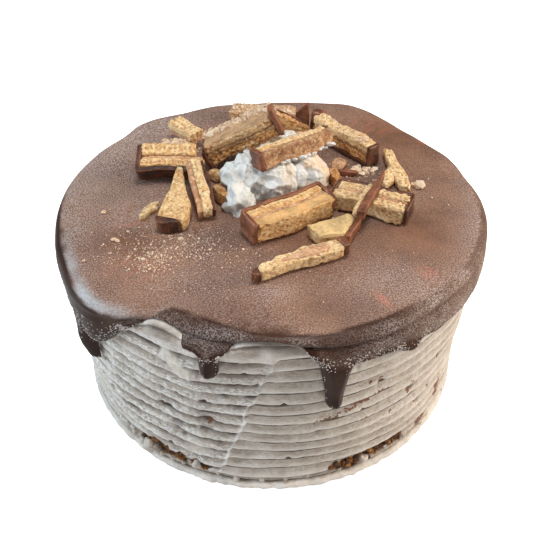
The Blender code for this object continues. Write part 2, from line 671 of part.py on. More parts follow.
def main():
    """Build the cake from the base up; the cream comes last, because the bars press into it."""
    clear_scene()
    make_crumb_base()
    make_frosting()
    make_ganache()
    left_bar()
    back_left_chip()
    left_wedge()
    left_stick()
    top_chunk()
    back_strip()
    back_chips()
    cream_bar()
    right_back_bar()
    right_bar()
    right_stick()
    front_bar()
    front_lens()
    front_stick()
    loose_pieces()
    make_cream()


main()
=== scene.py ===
import math

import bpy
import numpy as np
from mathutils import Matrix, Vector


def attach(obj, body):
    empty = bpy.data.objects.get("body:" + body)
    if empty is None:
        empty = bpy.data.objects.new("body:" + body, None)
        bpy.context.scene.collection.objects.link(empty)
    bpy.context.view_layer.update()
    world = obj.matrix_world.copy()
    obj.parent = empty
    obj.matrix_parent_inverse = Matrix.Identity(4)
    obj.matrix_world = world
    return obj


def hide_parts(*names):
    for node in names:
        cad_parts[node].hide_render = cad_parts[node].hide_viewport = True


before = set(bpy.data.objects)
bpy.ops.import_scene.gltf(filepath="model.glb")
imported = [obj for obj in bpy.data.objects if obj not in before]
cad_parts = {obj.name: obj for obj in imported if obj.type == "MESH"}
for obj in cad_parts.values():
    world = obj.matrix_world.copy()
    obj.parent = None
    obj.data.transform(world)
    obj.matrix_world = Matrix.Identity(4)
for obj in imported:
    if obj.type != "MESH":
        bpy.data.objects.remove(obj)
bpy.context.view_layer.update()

# Looks of the round ice cream cake. Lengths are millimetres: x and y from the drum's axis, z from
# the floor. Form.finish moves them to the frame's origin and turns them into metres. Angles are in
# degrees, counter-clockwise from +X, so the cake's front is at -90.
MM = 0.001
AXIS_PLACE = np.array([0.28, -1.88, 0.0])

# The drum of frosting: its size, the length of a degree round it, how far the shoulder under the
# cap rises, its comb lines, its foot, and the recess round the crumb base
FROSTING_RADIUS = 75.6
FROSTING_TOP = 68.0
FROSTING_FOOT = 0.4
FROSTING_COLUMNS = 680
DEGREE = 1.32
SHOULDER_RISE = 2.3
RIDGES = 13
RIDGE_DEPTH = 1.35
RIDGE_PITCH = 4.92
FIRST_CREST = 64.8
FOOT_TOP = 5.2
FOOT_REACH = 77.5
BASE_HEIGHT = 11.0
BASE_RADIUS = 73.0
BASE_COLUMNS = 460
RECESS_RADIUS = 73.35
# Angle of the comb's seam, and how far it leans, in degrees a millimetre of height
SEAM_ANGLE = -105
SEAM_LEAN = 0.25

# The ganache cap: its height, its columns and sizes, the rows down its drape, the blend along its
# hem, and the draws for the beads of ice on it
TOP = 72.0
CAP_COLUMNS = 1240
CAP_INNER = 75.85
CAP_UNDERSIDE = 68.15
CAP_THICKNESS = 2.1
DRAPE_RADIUS = 77.2
DRAPE_ROWS = 26
HEM_BLEND = 2.8
EDGE_COLUMNS = 26
BEAD_DRAWS = 9000

# Fineness of the bars and of the cream, and how much smaller the crumbs are than their clusters say
BAR_STEP = 0.4
CREAM_VOXEL = 0.3
CRUMB_SCALE = 0.56

# Frosting under the cap: (height, radius, share of the shoulder's rise, how dark its shadow is)
SHOULDER_ROWS = (
    (FROSTING_TOP, 20.0, 0, 0), (FROSTING_TOP, 55.0, 0.5, 0), (FROSTING_TOP, 70.0, 1, 0),
    (FROSTING_TOP, 72.6, 1, 0.3), (67.9, 73.5, 1, 0.35), (67.4, 74.5, 0.95, 0.4), (67.2, 74.7, 0.9, 0.5),
    (67.1, 74.0, 0.85, 0.9), (66.9, 74.1, 0.75, 0.9), (66.5, 74.9, 0.4, 0.45), (66.0, 75.5, 0.1, 0.3),
)
# One comb line, a sharp crest over a long slope: (share of the pitch down, share of the depth in, painted
# highlight)
COMB = (
    (0, -0.14, 1), (0.03, 0.1, 0.3), (0.06, 0.9, 0), (0.15, 1, 0), (0.24, 0.9, 0), (0.29, 0.8, 0),
    (0.34, 0.7, 0), (0.64, 0.3, 0), (0.91, -0.02, 0.6),
)
# From the lowest comb line round the foot's bead and up the recess round the base:
# (height, radius, share of the bead's swing, painted highlight, painted shade, 1 on the outside)
FOOT_ROWS = (
    (4.0, 75.3, 0, 0, 0, 1), (3.3, 74.8, 0, 0, 0.7, 1), (2.9, 74.7, 0, 0, 1, 1), (2.7, 75.5, 0.5, 0, 0, 1),
    (2.5, 76.4, 0.9, 0.8, 0, 1), (2.1, 77.0, 1, 0.8, 0, 1), (1.6, FOOT_REACH, 1, 0.8, 0, 1),
    (1.1, 77.3, 1, 0.8, 0, 1), (0.7, 76.9, 0.9, 0.8, 0, 0), (FROSTING_FOOT, 76.2, 0.6, 0, 0, 0),
    (FROSTING_FOOT, 74.5, 0, 0, 0, 0), (FROSTING_FOOT, 73.5, 0, 0, 0, 0), (4.0, RECESS_RADIUS, 0, 0, 0, 0),
    (8.0, RECESS_RADIUS, 0, 0, 0, 0), (BASE_HEIGHT + 0.3, 73.3, 0, 0, 0, 0),
    (BASE_HEIGHT + 0.3, 60.0, 0, 0, 0, 0), (BASE_HEIGHT + 0.3, 20.0, 0, 0, 0, 0),
)
# Torn pits in the frosting: (angle, height, half width, depth)
PITS = (
    (-133.1, 32.5, 1.5, 1.3), (-138.3, 23.3, 1.3, 1.0), (-117.7, 41.8, 1.3, 1.1),
    (-116.4, 34.5, 1.6, 1.0), (-114.5, 26.0, 2.0, 1.3), (-105.9, 33.3, 2.2, 1.4),
    (-106.4, 27.8, 2.2, 1.2), (-112.5, 22.0, 1.4, 1.0), (-121.9, 47.3, 0.9, 0.9),
    (-138.1, 37.0, 1.6, 1.0), (-50.9, 32.2, 2.0, 1.0), (-47.1, 21.8, 1.1, 0.8), (-39.7, 36.7, 0.9, 0.8),
    (-62.4, 44.5, 1.4, 0.9), (-33.1, 14.3, 1.8, 1.0), (-78.2, 29.1, 1.5, 0.8), (14, 30, 1.8, 1.1),
    (35, 44, 1.4, 1.0), (48, 18, 2.0, 1.2), (84, 27, 1.6, 1.0), (97, 40, 1.3, 0.9), (118, 16, 1.9, 1.1),
    (140, 36, 1.5, 1.0), (158, 24, 1.8, 1.2), (177, 41, 1.4, 0.9), (-158, 30, 1.6, 1.1),
)
# Brown crumb drawn along the comb lines: (angle, height, half length in degrees, half height, strength)
STAINS = (
    (-69.6, 46.9, 1.5, 0.35, 1.0), (-65.0, 45.9, 2.6, 0.3, 0.8), (-62.6, 45.1, 0.9, 0.8, 0.9),
    (-69.1, 51.9, 1.5, 0.35, 1.0), (-80.5, 33.6, 3.4, 0.5, 0.7), (-76.0, 34.8, 3.2, 0.5, 0.7),
    (-71.0, 36.7, 2.8, 0.5, 0.8), (-66.6, 38.2, 2.8, 0.5, 0.8), (-62.0, 39.6, 2.2, 0.5, 0.8),
    (-51.6, 33.0, 1.2, 1.5, 1.0), (-48.2, 23.2, 0.9, 0.8, 1.0), (-39.7, 36.7, 1.0, 0.9, 0.9),
    (-66, 29.6, 4, 0.5, 0.45), (-58, 26.4, 3, 0.5, 0.4), (-35, 16, 2.2, 3.4, 0.9),
    (-43.5, 7.0, 2.2, 1.4, 1.0), (-105.4, 31.5, 1.0, 0.8, 0.5), (-133.1, 32.5, 1.2, 0.9, 0.4),
    (10, 24, 3, 1.1, 0.8), (30, 14, 2.4, 1.0, 0.9), (62, 22, 3.5, 0.9, 0.8), (92, 12, 2.5, 1.2, 0.9),
    (130, 20, 3.5, 0.8, 0.7), (155, 33, 2.4, 0.9, 0.8), (-165, 16, 2.4, 1.0, 0.8),
)
# Wiped patches without comb lines: (angle, height, half width in degrees, half height, lean in degrees a mm)
PATCHES = ((-111.6, 59.0, 2.5, 5.6, -0.6), (64, 12, 7, 6, 0), (172, 52, 6, 5, 0))
# Gaps at the foot that show the crumb base: (first angle, last angle, middle height, half height)
FOOT_GAPS = ((-129.0, -105.0, 7.1, 2.9), (-75.5, -50.0, 6.5, 2.8))
# Lumps of frosting along the foot: (angle, height, radius)
FOOT_LUMPS = (
    (-124.2, 6.6, 2.7), (-110.0, 6.8, 1.6), (-99, 3.9, 1.3), (-92.3, 3.9, 0.9), (-86.3, 4.0, 0.9),
    (-64.5, 6.0, 1.5), (-57.0, 5.6, 1.0), (-117.5, 3.6, 0.9), (-104.0, 5.2, 0.9), (-80.5, 4.2, 0.7),
    (-127.6, 5.4, 1.6), (-134.5, 6.0, 1.0), (-121, 3.8, 1.1), (-114, 4.4, 0.8), (-71.5, 4.6, 0.9),
    (-131, 6.4, 1.2), (-50, 5.4, 1.1), (-43, 4.4, 1.3), (-28, 4.2, 1.0), (12, 4.3, 1.2), (55, 4.5, 1.4),
    (83, 4.4, 1.0), (121, 4.3, 1.3), (149, 4.2, 0.9), (-171, 4.4, 1.3),
)

# (angle, radius) of the cap's lip, where its top turns down
LIP = (
    (-180, 78.0), (-165, 77.6), (-150, 78.6), (-140, 80.6), (-133, 81.2), (-126, 78.6), (-120, 73.2),
    (-111, 72.8), (-102, 73.8), (-92, 74.4), (-84, 75.8), (-75, 76.9), (-61, 77.0), (-48, 76.6),
    (-38, 77.6), (-25, 77.6), (-12, 77.8), (0, 77.6), (10, 76.6), (22, 78.0), (31, 76.8), (43, 78.2),
    (51, 81.8), (58, 85.6), (66, 87.6), (74, 84.4), (88, 81.6), (97, 80.6), (109, 82.6), (120, 80.8),
    (128, 83.2), (135, 83.4), (142, 79.8), (151, 79.2), (165, 78.8), (180, 78.0),
)
# (angle, height) of the cap's lower edge, before its drips
HEM = (
    (-180, 59.0), (-165, 61.0), (-157, 59.0), (-151, 54.0), (-137, 51.0), (-131.8, 53.5), (-127.6, 60.0),
    (-124.3, 64.6), (-121.1, 67.8), (-118.5, 69.8), (-116.5, 70.6), (-114.5, 70.4), (-111.4, 69.0),
    (-108.8, 66.2), (-101.3, 64.5), (-99, 67.4), (-96.4, 69.4), (-91.8, 70.7), (-88.9, 70.9), (-86.1, 70.4),
    (-84, 69.4), (-82.2, 67.2), (-80.2, 63.0), (-71.6, 60.0), (-63, 60.0), (-60, 59.4), (-54, 60.2),
    (-49, 58.6), (-45.4, 59.2), (-36, 58.4), (-30, 57.2), (-12, 61.8), (4, 60.0), (18, 57.8), (32, 60.0),
    (46, 58.0), (60, 56.0), (76, 59.5), (92, 63.2), (110, 60.0), (128, 55.0), (140, 60.5),
    (152, 63.6), (166, 60.5), (176, 58.8), (180, 59.0),
)
# (angle, height of the tip, width) of each drip
DRIPS = (
    (-141.2, 36.0, 3.6), (-103.6, 56.2, 5.8), (-75.4, 42.0, 5.4), (-57.0, 57.2, 8.0),
    (19.0, 47.0, 7.8), (58.0, 33.0, 8.8), (68.5, 50.0, 6.8), (101.0, 52.5, 7.0),
    (128.0, 39.0, 8.4), (174.0, 50.5, 7.4),
)
# (angle, width of the rolled shoulder, height that it drops by) round the cap
SHOULDER = (
    (-180, 8.0, 4.4), (-165, 9.0, 5.2), (-150, 9.0, 5.2), (-138, 8.0, 4.4), (-128, 6.5, 3.0),
    (-118, 6.0, 1.2), (-110, 6.5, 2.4), (-104, 6.0, 4.0), (-98, 4.0, 2.2), (-91, 2.0, 0.9),
    (-85, 2.6, 1.4), (-78, 4.5, 3.2), (-60, 4.6, 3.0), (-20, 5.0, 3.0), (10, 4.6, 2.8), (35, 4.0, 2.4),
    (60, 6.0, 3.2), (90, 5.0, 3.0), (130, 6.0, 3.4), (160, 7.0, 4.0), (180, 8.0, 4.4),
)
# (angle, radius) where the lit top of the cap ends and the painted shade of its rolled edge begins
ROLL = (
    (-180, 76.0), (-174, 75.8), (-165, 74.6), (-155, 74.8), (-147, 76.6), (-139, 79.2), (-133, 80.2),
    (-129, 79.2), (-126.5, 77.8), (-122, 76.4), (-119.3, 75.0), (-117.7, 72.0), (-116.5, 68.6),
    (-113.3, 67.0), (-110, 67.8), (-104.6, 68.6), (-101, 69.0), (-98.3, 69.6), (-93.5, 71.5), (-88, 72.4),
    (-77.3, 73.6), (-73.7, 73.2), (-68, 72.6), (-59, 72.8), (-41, 74.0), (-22, 74.2), (-10, 75.0),
    (10, 75.4), (35, 76.0), (51, 80.0), (66, 85.6), (88, 80.0), (120, 79.4), (135, 81.6), (150, 79.0),
    (165, 78.4), (172, 77.6), (176, 76.8), (180, 76.0),
)
# Shares of the flat top's radius where its rows lie, and angles of the rows round the rolled shoulder
FLAT_SHARES = (0.04, 0.16, 0.3, 0.43, 0.55, 0.66, 0.76, 0.85, 0.93)
ROLL_TURNS = (0, 14, 27, 39, 50, 60, 69, 77, 84, 90)
# (amount, centre, reach) of thicker and thinner ice on the cap's top
FROST_PATCHES = (
    (0.12, (-56, 6), (16, 30)), (0.22, (-38, 50), (24, 16)), (-0.12, (2, -34), (30, 12)),
    (0.36, (36, -50), (15, 13)), (0.18, (-46, -14), (14, 10)), (-0.26, (50, -26), (14, 14)),
    (-0.16, (-4, -64), (30, 6)), (0.3, (1, -55), (6, 4)), (-0.2, (14, -6), (30, 30)),
)
# (amount, angle, half width, radius where it begins, radius where it is full) of ice towards the rim
FROST_RIMS = (
    (0.42, 152, 34, 52, 72), (0.2, -160, 26, 58, 74), (0.45, -14, 30, 64, 76), (-0.22, 42, 34, 36, 60),
)
# (amount, centre, reach) of the bare scrapes that show orange brown
RUST_SCRAPES = (
    (1.1, (48.1, -45.5), (2.8, 1.6)), (1.1, (34.6, -58.5), (2.4, 1.3)), (0.55, (44.8, 49.9), (11, 0.9)),
    (0.5, (41, 57), (8, 0.8)), (0.5, (63, 43), (1.2, 5)), (0.25, (-40, -42), (12, 7)),
    (0.6, (-47, -20), (4, 0.7)),
)

# (centre, radii) of the lumps of the whipped cream, with heights from the top of the cap
CREAM_LUMPS = (
    ((-11.2, -7.8, 2.0), (4.8, 6.6, 5.6)),
    ((-11.0, 3.0, 4.0), (7.0, 8.6, 8.6)),
    ((0.5, 5.0, 3.5), (11.5, 10.5, 9.6)),
    ((13.0, 7.5, 3.0), (8.2, 9.5, 9.0)),
    ((0.5, 21.0, 2.0), (12.0, 10.5, 9.5)),
    ((8.0, 24.0, 2.5), (10.0, 9.0, 9.0)),
)
# (x, y, z, pitch, height) of each set of creases in the cream: the direction across them, and their size
CREASES = (
    (1.0, 0.2, 0.9, 7.5, 1.4), (-0.5, 1.0, 0.8, 5.4, 1.0), (0.9, 0.7, -0.8, 3.6, 0.6),
)
# Places along the cream's bar of the dabs of cream on its lower edge
SMEARS = (-7.0, -5.2, -2.4, 0.6, 2.2, 3.6, 6.0, 9.4, 10.6, 12.2, 14.0, 15.2)

# Each bar's centre, with its height from the top of the cap, its (yaw, pitch, roll), its bend and seed
BARS = {
    "left_bar": ((-37.6, 12.2, 6.5), (-2, -1, 29), 0.35, 1),
    "back_left_chip": ((-35.1, 40.6, 5.0), (-46, 2, 6), 0.1, 2),
    "left_wedge": ((-31.8, -11.4, 4.35), (88, -6, 0), 0.2, 3),
    "left_stick": ((-24.5, -6.3, 6.4), (-76, 15, 0), 0.2, 4),
    "top_chunk": ((-11.2, 23.2, 12.2), (0, -26, 2), 0.3, 5),
    "back_strip": ((-3.4, 60.4, 2.85), (-5, 0, 0), 0.25, 6),
    "back_chip": ((13.6, 50.6, 6.9), (-24, 0, 0), 0.1, 7),
    "back_lump": ((20.0, 50.2, 4.9), (-30, 0, 0), 0.2, 8),
    "back_slab": ((9.6, 43.4, 4.8), (-3, 0, -8), 0.2, 9),
    "cream_bar": ((8.2, 7.3, 15.0), (34, -1, -10), 0.3, 10),
    "right_back_bar": ((29.8, 32.0, 5.25), (-52, 1, 2), 0.3, 11),
    "right_bar": ((35.4, -10.4, 3.55), (-24, 0, 0), 0.3, 12),
    "right_stick": ((34.9, -13.6, 8.55), (66, -3, 0), 0.2, 13),
    "front_bar": ((6.0, -20.4, 5.2), (33, 0, 7), 0.3, 14),
    "front_lens": ((20.9, -26.6, 2.8), (0, 0, 0), 0.1, 15),
    "front_stick": ((9.4, -42.3, 3.0), (26, 0, 0), 0.45, 16),
    "forked_wafer": ((47.6, 13.4, 1.9), (0, 0, 0), 0.1, 17),
    "round_flake": ((26.8, 19.6, 1.45), (60, 0, 0), 0.1, 18),
    "cocoa_rod": ((29.4, 12.6, 1.25), (-8, 0, 0), 0.1, 19),
    "small_wafer": ((23.8, 7.4, 2.5), (-72, 0, 0), 0.1, 20),
    "hidden_wafer": ((-18.2, -4.4, 2.6), (-62, 0, 0), 0.1, 21),
    "pale_lump": ((-20.4, 9.6, 1.95), (-40, 0, 0), 0.1, 22),
    "crumb_heap": ((-38.2, 30.0, 2.5), (0, 0, 0), 0.1, 23),
    "left_flake": ((-43.0, -13.4, 1.2), (62, 0, 0), 0.1, 24),
}
# (node, half lengths, material, slot) of the small rough pieces
BITS = (
    ("round_flake", (3.4, 2.6, 1.3), "pink", "filling"),
    ("cocoa_rod", (4.0, 1.0, 1.1), "red_brown", "chocolate"),
    ("small_wafer", (4.4, 1.6, 2.6), "toasted", "wafer"),
    ("hidden_wafer", (5.0, 2.2, 2.7), "toasted", "wafer"),
    ("pale_lump", (3.2, 2.3, 1.9), "wheat", "wafer"), ("crumb_heap", (6.0, 3.6, 2.6), "hazel", "wafer"),
)

# Wafer dust on the cap: (x, y, spread in x, spread in y, count, size) of each cluster
CLUSTERS = (
    (-38.9, -41.5, 3.6, 3.0, 120, 0.36), (-30.1, -35.3, 7.0, 4.2, 160, 0.3),
    (-26.6, -31.0, 8.5, 5.0, 190, 0.28), (-38.0, -34.0, 12.0, 7.0, 260, 0.26),
    (-18, -38, 14, 9, 260, 0.22), (-48, -30, 9, 8, 130, 0.24), (5, -44, 26, 12, 90, 0.2),
    (33.5, 15.0, 3.4, 3.0, 60, 0.62), (36.5, 16.5, 2.4, 2.4, 26, 0.9), (29, 9, 4, 4, 40, 0.4),
    (44, 0, 8, 6, 50, 0.3), (-30, 22, 9, 8, 60, 0.45), (-20, 14, 5, 6, 40, 0.5),
    (0, -4, 34, 34, 160, 0.2), (20, -8, 6, 4, 40, 0.35), (-37, 29, 5, 4, 40, 0.7),
)
# Crumbs that lie on the bars: (bar, range along it, range across it, height in it, count, size)
DUSTED = (
    ("top_chunk", (-14, 14), (0.2, 6.2), 4.5, 330, 0.4),
    ("back_strip", (-14, 14), (-4.6, 4.6), 2.5, 240, 0.38),
    ("right_back_bar", (-15, 13), (-2.6, 2.6), 4.5, 90, 0.3),
    ("left_bar", (-10, 11), (-4, 5.6), 3.1, 60, 0.24),
    ("crumb_heap", (-5.6, 5.6), (-3.2, 3.2), 2.4, 110, 0.45),
    ("cream_bar", (-13, 14), (0.4, 3.2), 3.2, 60, 0.28),
)
# Single crumbs on the cap: (x, y, size)
LONE_CRUMBS = (
    (-58.8, -12.8, 1.0), (-52.1, -28.8, 1.1), (-50.8, -29.6, 0.8), (-59.5, -40.0, 0.5),
    (-29.9, -28.8, 1.1), (-48.3, -24.2, 0.6), (-52.0, -36.3, 0.6), (-44.2, -34.2, 0.6),
    (-19.8, -34.2, 0.5), (-57.0, -10.6, 0.4), (55.4, 4.5, 2.3), (53.6, 5.4, 1.4), (33.0, 17.4, 1.5),
    (35.0, 13.4, 1.3), (37.6, 18.0, 1.2), (31.6, 15.6, 1.2), (39.2, 15.2, 1.0), (-33.0, 30.0, 1.8),
    (-44.0, 27.0, 1.2), (58.6, -3.4, 0.6), (12, -10, 0.8), (48, 26, 0.8), (-9, -34, 0.5), (60, 10, 0.5),
    (30, -22, 0.5),
)

# Pale, deep and skin colours of each wafer, as sRGB numbers of 0 to 255
WAFER_TONES = {
    "golden": ((250, 216, 158), (222, 170, 108), (238, 190, 128)),
    "wheat": ((240, 206, 152), (212, 168, 112), (255, 220, 158)),
    "straw": ((254, 228, 180), (228, 186, 130), (240, 208, 156)),
    "toasted": ((232, 178, 112), (176, 116, 62), (204, 152, 96)),
    "hazel": ((234, 194, 144), (190, 142, 98), (206, 164, 124)),
}
# Pale and deep colours of the fillings, the coats, the crumbs and the beads of ice
FILLING_TONES = {
    "toffee": ((206, 156, 100), (150, 100, 58)),
    "caramel": ((226, 180, 138), (192, 136, 98)),
    "pink": ((234, 190, 150), (212, 160, 122)),
    "rosy": ((208, 162, 118), (156, 108, 74)),
}
COAT_TONES = {
    "dark": ((104, 60, 40), (46, 24, 16)),
    "red_brown": ((152, 96, 68), (96, 54, 37)),
}
CRUMB_TONES = {
    "cookie": ((180, 124, 68), (54, 31, 20)),
    "loose": ((253, 238, 216), (218, 182, 148)),
}
BEAD_TONES = {"ice": ((222, 214, 210), (180, 168, 160))}


# ---------------------------------------------------------------- numbers
def smooth(value, low=0.0, high=1.0):
    """Smooth step: 0 below low, 1 above high, and 3t^2 - 2t^3 of the share t between them."""
    share = np.clip((np.asarray(value, float) - low) / (high - low), 0, 1)
    return share * share * (3 - 2 * share)


def bell(angle, centre, half_width):
    """Bump round the circle: e to the minus square of the angle from its centre over its half width."""
    away = (angle - centre + 180) % 360 - 180
    return np.exp(-((away / half_width) ** 2))


def near(points, centre, reach):
    """Bump in space: e to the minus square of the distance from its centre over its reach."""
    away = (points - np.asarray(centre, float)) / np.asarray(reach, float)
    return np.exp(-(away**2).sum(-1))


def patches(points, table):
    """Sum of bumps in space: each row of the table is (amount, centre, reach)."""
    return sum(amount * near(points, centre, reach) for amount, centre, reach in table)


def lattice(cell, seed):
    """Random number from 0 to 1 that belongs to a cell: its three whole coordinates, mixed bit by bit."""
    x, y, z = (cell[..., axis].astype(np.int64) for axis in range(3))
    mixed = (x * 73856093) ^ (y * 19349663) ^ (z * 83492791) ^ (seed * 7919 + 31)
    mixed = ((mixed ^ (mixed >> 13)) * 1274126177) & 0x7FFFFFFF
    mixed = ((mixed ^ (mixed >> 15)) * 668265263) & 0x7FFFFFFF
    return (mixed >> 7 & 0xFFFF) / 0xFFFF


def noise(points, size, seed=0):
    """Noise from -1 to 1: the lattice's numbers a size apart, blended by smooth steps along x, y and z."""
    place = points / size
    cell = np.floor(place).astype(np.int64)
    part = place - cell
    part = part * part * (3 - 2 * part)
    total = 0
    for corner in np.ndindex(2, 2, 2):
        share = np.prod(np.where(corner, part, 1 - part), axis=-1)
        total = total + share * lattice(cell + corner, seed)
    return 2 * total - 1


def clouds(points, size, octaves=3, seed=0):
    """Sum of noises, each with half the size and half the height of the one before."""
    return sum(noise(points, size / 2**level, seed + level) / 2**level for level in range(octaves))


def folds(points, size, seed=0):
    """Sharp creases from 0 to 1: one minus the size of the noise, squared."""
    return (1 - np.abs(noise(points, size, seed))) ** 2


def cell_distance(points, size, seed=0):
    """Distance, in cells of a size, to the nearest of the points that are scattered one to a cell."""
    place = points / size
    cell = np.floor(place).astype(np.int64)
    nearest = np.full(place.shape[:-1], 9.0)
    for step in np.ndindex(3, 3, 3):
        other = cell + step - 1
        spot = np.stack([lattice(other, seed + axis) for axis in range(3)], -1)
        nearest = np.minimum(nearest, ((place - other - spot) ** 2).sum(-1))
    return np.sqrt(nearest)


def round_table(table, angles, soft=1.0):
    """Value of an (angle, value) table at each angle, averaged over a soft number of degrees each way."""
    known = np.array(table, float)
    total = 0
    for shift in (-1, -0.5, 0, 0.5, 1):
        wrapped = (angles + shift * soft + 180) % 360 - 180
        total = total + np.interp(wrapped, known[:, 0], known[:, 1])
    return total / 5


def even_columns(fine, density, count):
    """A number of angles out of a fine list, closer together where the density is higher."""
    total = np.concatenate([[0], np.cumsum((density[1:] + density[:-1]) / 2)])
    return np.interp(np.arange(count) / count * total[-1], total, fine)


def polar(angles, radius, height):
    """Points at an angle and radius round the drum's axis, at a height."""
    turn = np.radians(angles)
    radius = np.asarray(radius, float)
    return np.stack(np.broadcast_arrays(radius * np.cos(turn), radius * np.sin(turn), height), -1)


# ---------------------------------------------------------------- meshes
def normals(rows):
    """Unit normals of a grid whose columns meet: the cross product of its steps along and across,
    turned to point out by the sign of the volume that they enclose."""
    across = np.roll(rows, -1, 1) - np.roll(rows, 1, 1)
    along = np.gradient(rows, axis=0)
    cross = np.cross(across, along)
    volume = ((rows - rows.mean((0, 1))) * cross).sum()
    length = np.maximum(np.linalg.norm(cross, axis=-1, keepdims=True), 1e-9)
    return cross / length * (1 if volume > 0 else -1)


def pushed(rows, amount):
    """Grid with each point moved out along its normal by an amount."""
    return rows + normals(rows) * np.asarray(amount)[..., None]


def shell_faces(count, around):
    """Quads of a grid whose columns meet, and the fans that close its first and last rows."""
    here = np.arange((count - 1) * around).reshape(count - 1, around)
    beside = np.roll(here, -1, 1)
    quads = np.stack([here, beside, beside + around, here + around], -1).reshape(-1, 4)
    first = np.arange(around)
    last = first + (count - 1) * around
    top = np.stack([np.roll(first, -1), first, np.full(around, count * around)], -1)
    low = np.stack([last, np.roll(last, -1), np.full(around, count * around + 1)], -1)
    return quads, np.concatenate([top, low])


def volume_of(points, triangles):
    """Signed volume inside triangles: a sixth of the sum of a . (b x c)."""
    a, b, c = (points[triangles[:, corner]] for corner in range(3))
    return (a * np.cross(b, c)).sum() / 6


class Form:
    """Points, faces and painted masks of one piece while it is put together."""

    def __init__(self):
        """Start with no points."""
        self.points, self.quads, self.triangles, self.masks = [], [], [], []
        self.count = 0

    def add(self, points, quads, triangles, masks):
        """Add points, with the faces and masks that belong to them."""
        self.points.append(points)
        self.quads.append(quads + self.count)
        self.triangles.append(triangles + self.count)
        self.masks.append({name: np.asarray(value, float).reshape(-1) for name, value in masks.items()})
        self.count += len(points)
        return self

    def shell(self, rows, **masks):
        """Add a closed form: a grid whose columns meet, with a pole point at each end."""
        quads, triangles = shell_faces(*rows.shape[:2])
        points = np.concatenate([rows.reshape(-1, 3), rows[:1].mean(1), rows[-1:].mean(1)])
        full = {}
        for name, value in masks.items():
            value = np.broadcast_to(value, rows.shape[:2])
            full[name] = np.concatenate([value.reshape(-1), [value[0].mean()], [value[-1].mean()]])
        halves = np.concatenate([quads[:, :3], quads[:, [0, 2, 3]], triangles])
        if volume_of(points, halves) < 0:
            quads, triangles = quads[:, ::-1], triangles[:, ::-1]
        return self.add(points, quads, triangles, full)

    def scatter(self, places, sizes, seed, flat=0.8, turn=True, **masks):
        """Add a rough crumb at each place: a 20-sided ball, squeezed and turned by seeded draws."""
        chance = np.random.default_rng(seed)
        ball, faces = twenty_sides()
        count = len(places)
        squeeze = chance.uniform(0.65, 1.25, (count, 1, 3)) * np.array([1, 1, flat])
        rough = 1 + chance.uniform(-0.16, 0.16, (count, 12, 1))
        points = ball * rough * squeeze
        yaw = chance.uniform(0, 2 * math.pi, (count, 1)) * turn
        x = points[..., 0] * np.cos(yaw) - points[..., 1] * np.sin(yaw)
        y = points[..., 0] * np.sin(yaw) + points[..., 1] * np.cos(yaw)
        points = np.stack([x, y, points[..., 2]], -1) * np.asarray(sizes).reshape(-1, 1, 1)
        points = (points + np.asarray(places)[:, None]).reshape(-1, 3)
        triangles = (faces[None] + 12 * np.arange(count)[:, None, None]).reshape(-1, 3)
        full = {name: np.repeat(np.broadcast_to(value, count), 12) for name, value in masks.items()}
        return self.add(points, np.zeros((0, 4), int), triangles, full)

    def finish(self, name, material, slot, *nodes, flat_shaded=False):
        """Make the mesh and its object, and hide the solids that it stands for."""
        points = (np.concatenate(self.points) + AXIS_PLACE) * MM
        quads, triangles = np.concatenate(self.quads), np.concatenate(self.triangles)
        corners = np.concatenate([quads.reshape(-1), triangles.reshape(-1)])
        starts = np.concatenate([4 * np.arange(len(quads)), 4 * len(quads) + 3 * np.arange(len(triangles))])
        mesh = bpy.data.meshes.new(name)
        mesh.vertices.add(len(points))
        mesh.vertices.foreach_set("co", points.astype(np.float32).reshape(-1))
        mesh.loops.add(len(corners))
        mesh.loops.foreach_set("vertex_index", corners.astype(np.int32))
        mesh.polygons.add(len(starts))
        mesh.polygons.foreach_set("loop_start", starts.astype(np.int32))
        mesh.update(calc_edges=True)
        mesh.polygons.foreach_set("use_smooth", np.full(len(starts), not flat_shaded))
        for mask in sorted(set().union(*self.masks)):
            value = [m.get(mask, np.zeros(len(p))) for m, p in zip(self.masks, self.points)]
            layer = mesh.attributes.new(mask, "FLOAT", "POINT")
            layer.data.foreach_set("value", np.concatenate(value).astype(np.float32))
        mesh.materials.append(material)
        return make_piece(name, mesh, slot, *nodes)


def make_piece(name, mesh, slot, *nodes):
    """Object for a finished mesh, riding on the cake's one body."""
    piece = bpy.data.objects.new(name, mesh)
    bpy.context.scene.collection.objects.link(piece)
    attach(piece, "root")
    if nodes:
        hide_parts(*nodes)
    return piece


def twenty_sides():
    """Corners and faces of an icosahedron of radius 1."""
    gold = (1 + 5**0.5) / 2
    corners = []
    for a in (-1, 1):
        for b in (-gold, gold):
            corners += [(0, a, b), (a, b, 0), (b, 0, a)]
    corners = np.array(corners) / math.hypot(1, gold)
    faces = []
    for i in range(12):
        for j in range(i + 1, 12):
            for k in range(j + 1, 12):
                sides = [np.linalg.norm(corners[p] - corners[q]) for p, q in ((i, j), (j, k), (k, i))]
                if max(sides) < 1.1:
                    out = np.dot(np.cross(corners[j] - corners[i], corners[k] - corners[i]), corners[i])
                    faces.append((i, j, k) if out > 0 else (i, k, j))
    return corners, np.array(faces)


# ---------------------------------------------------------------- paint
def colour(red, green, blue):
    """Linear colour from sRGB numbers of 0 to 255."""
    return (*[((c / 255 + 0.055) / 1.055) ** 2.4 for c in (red, green, blue)], 1)


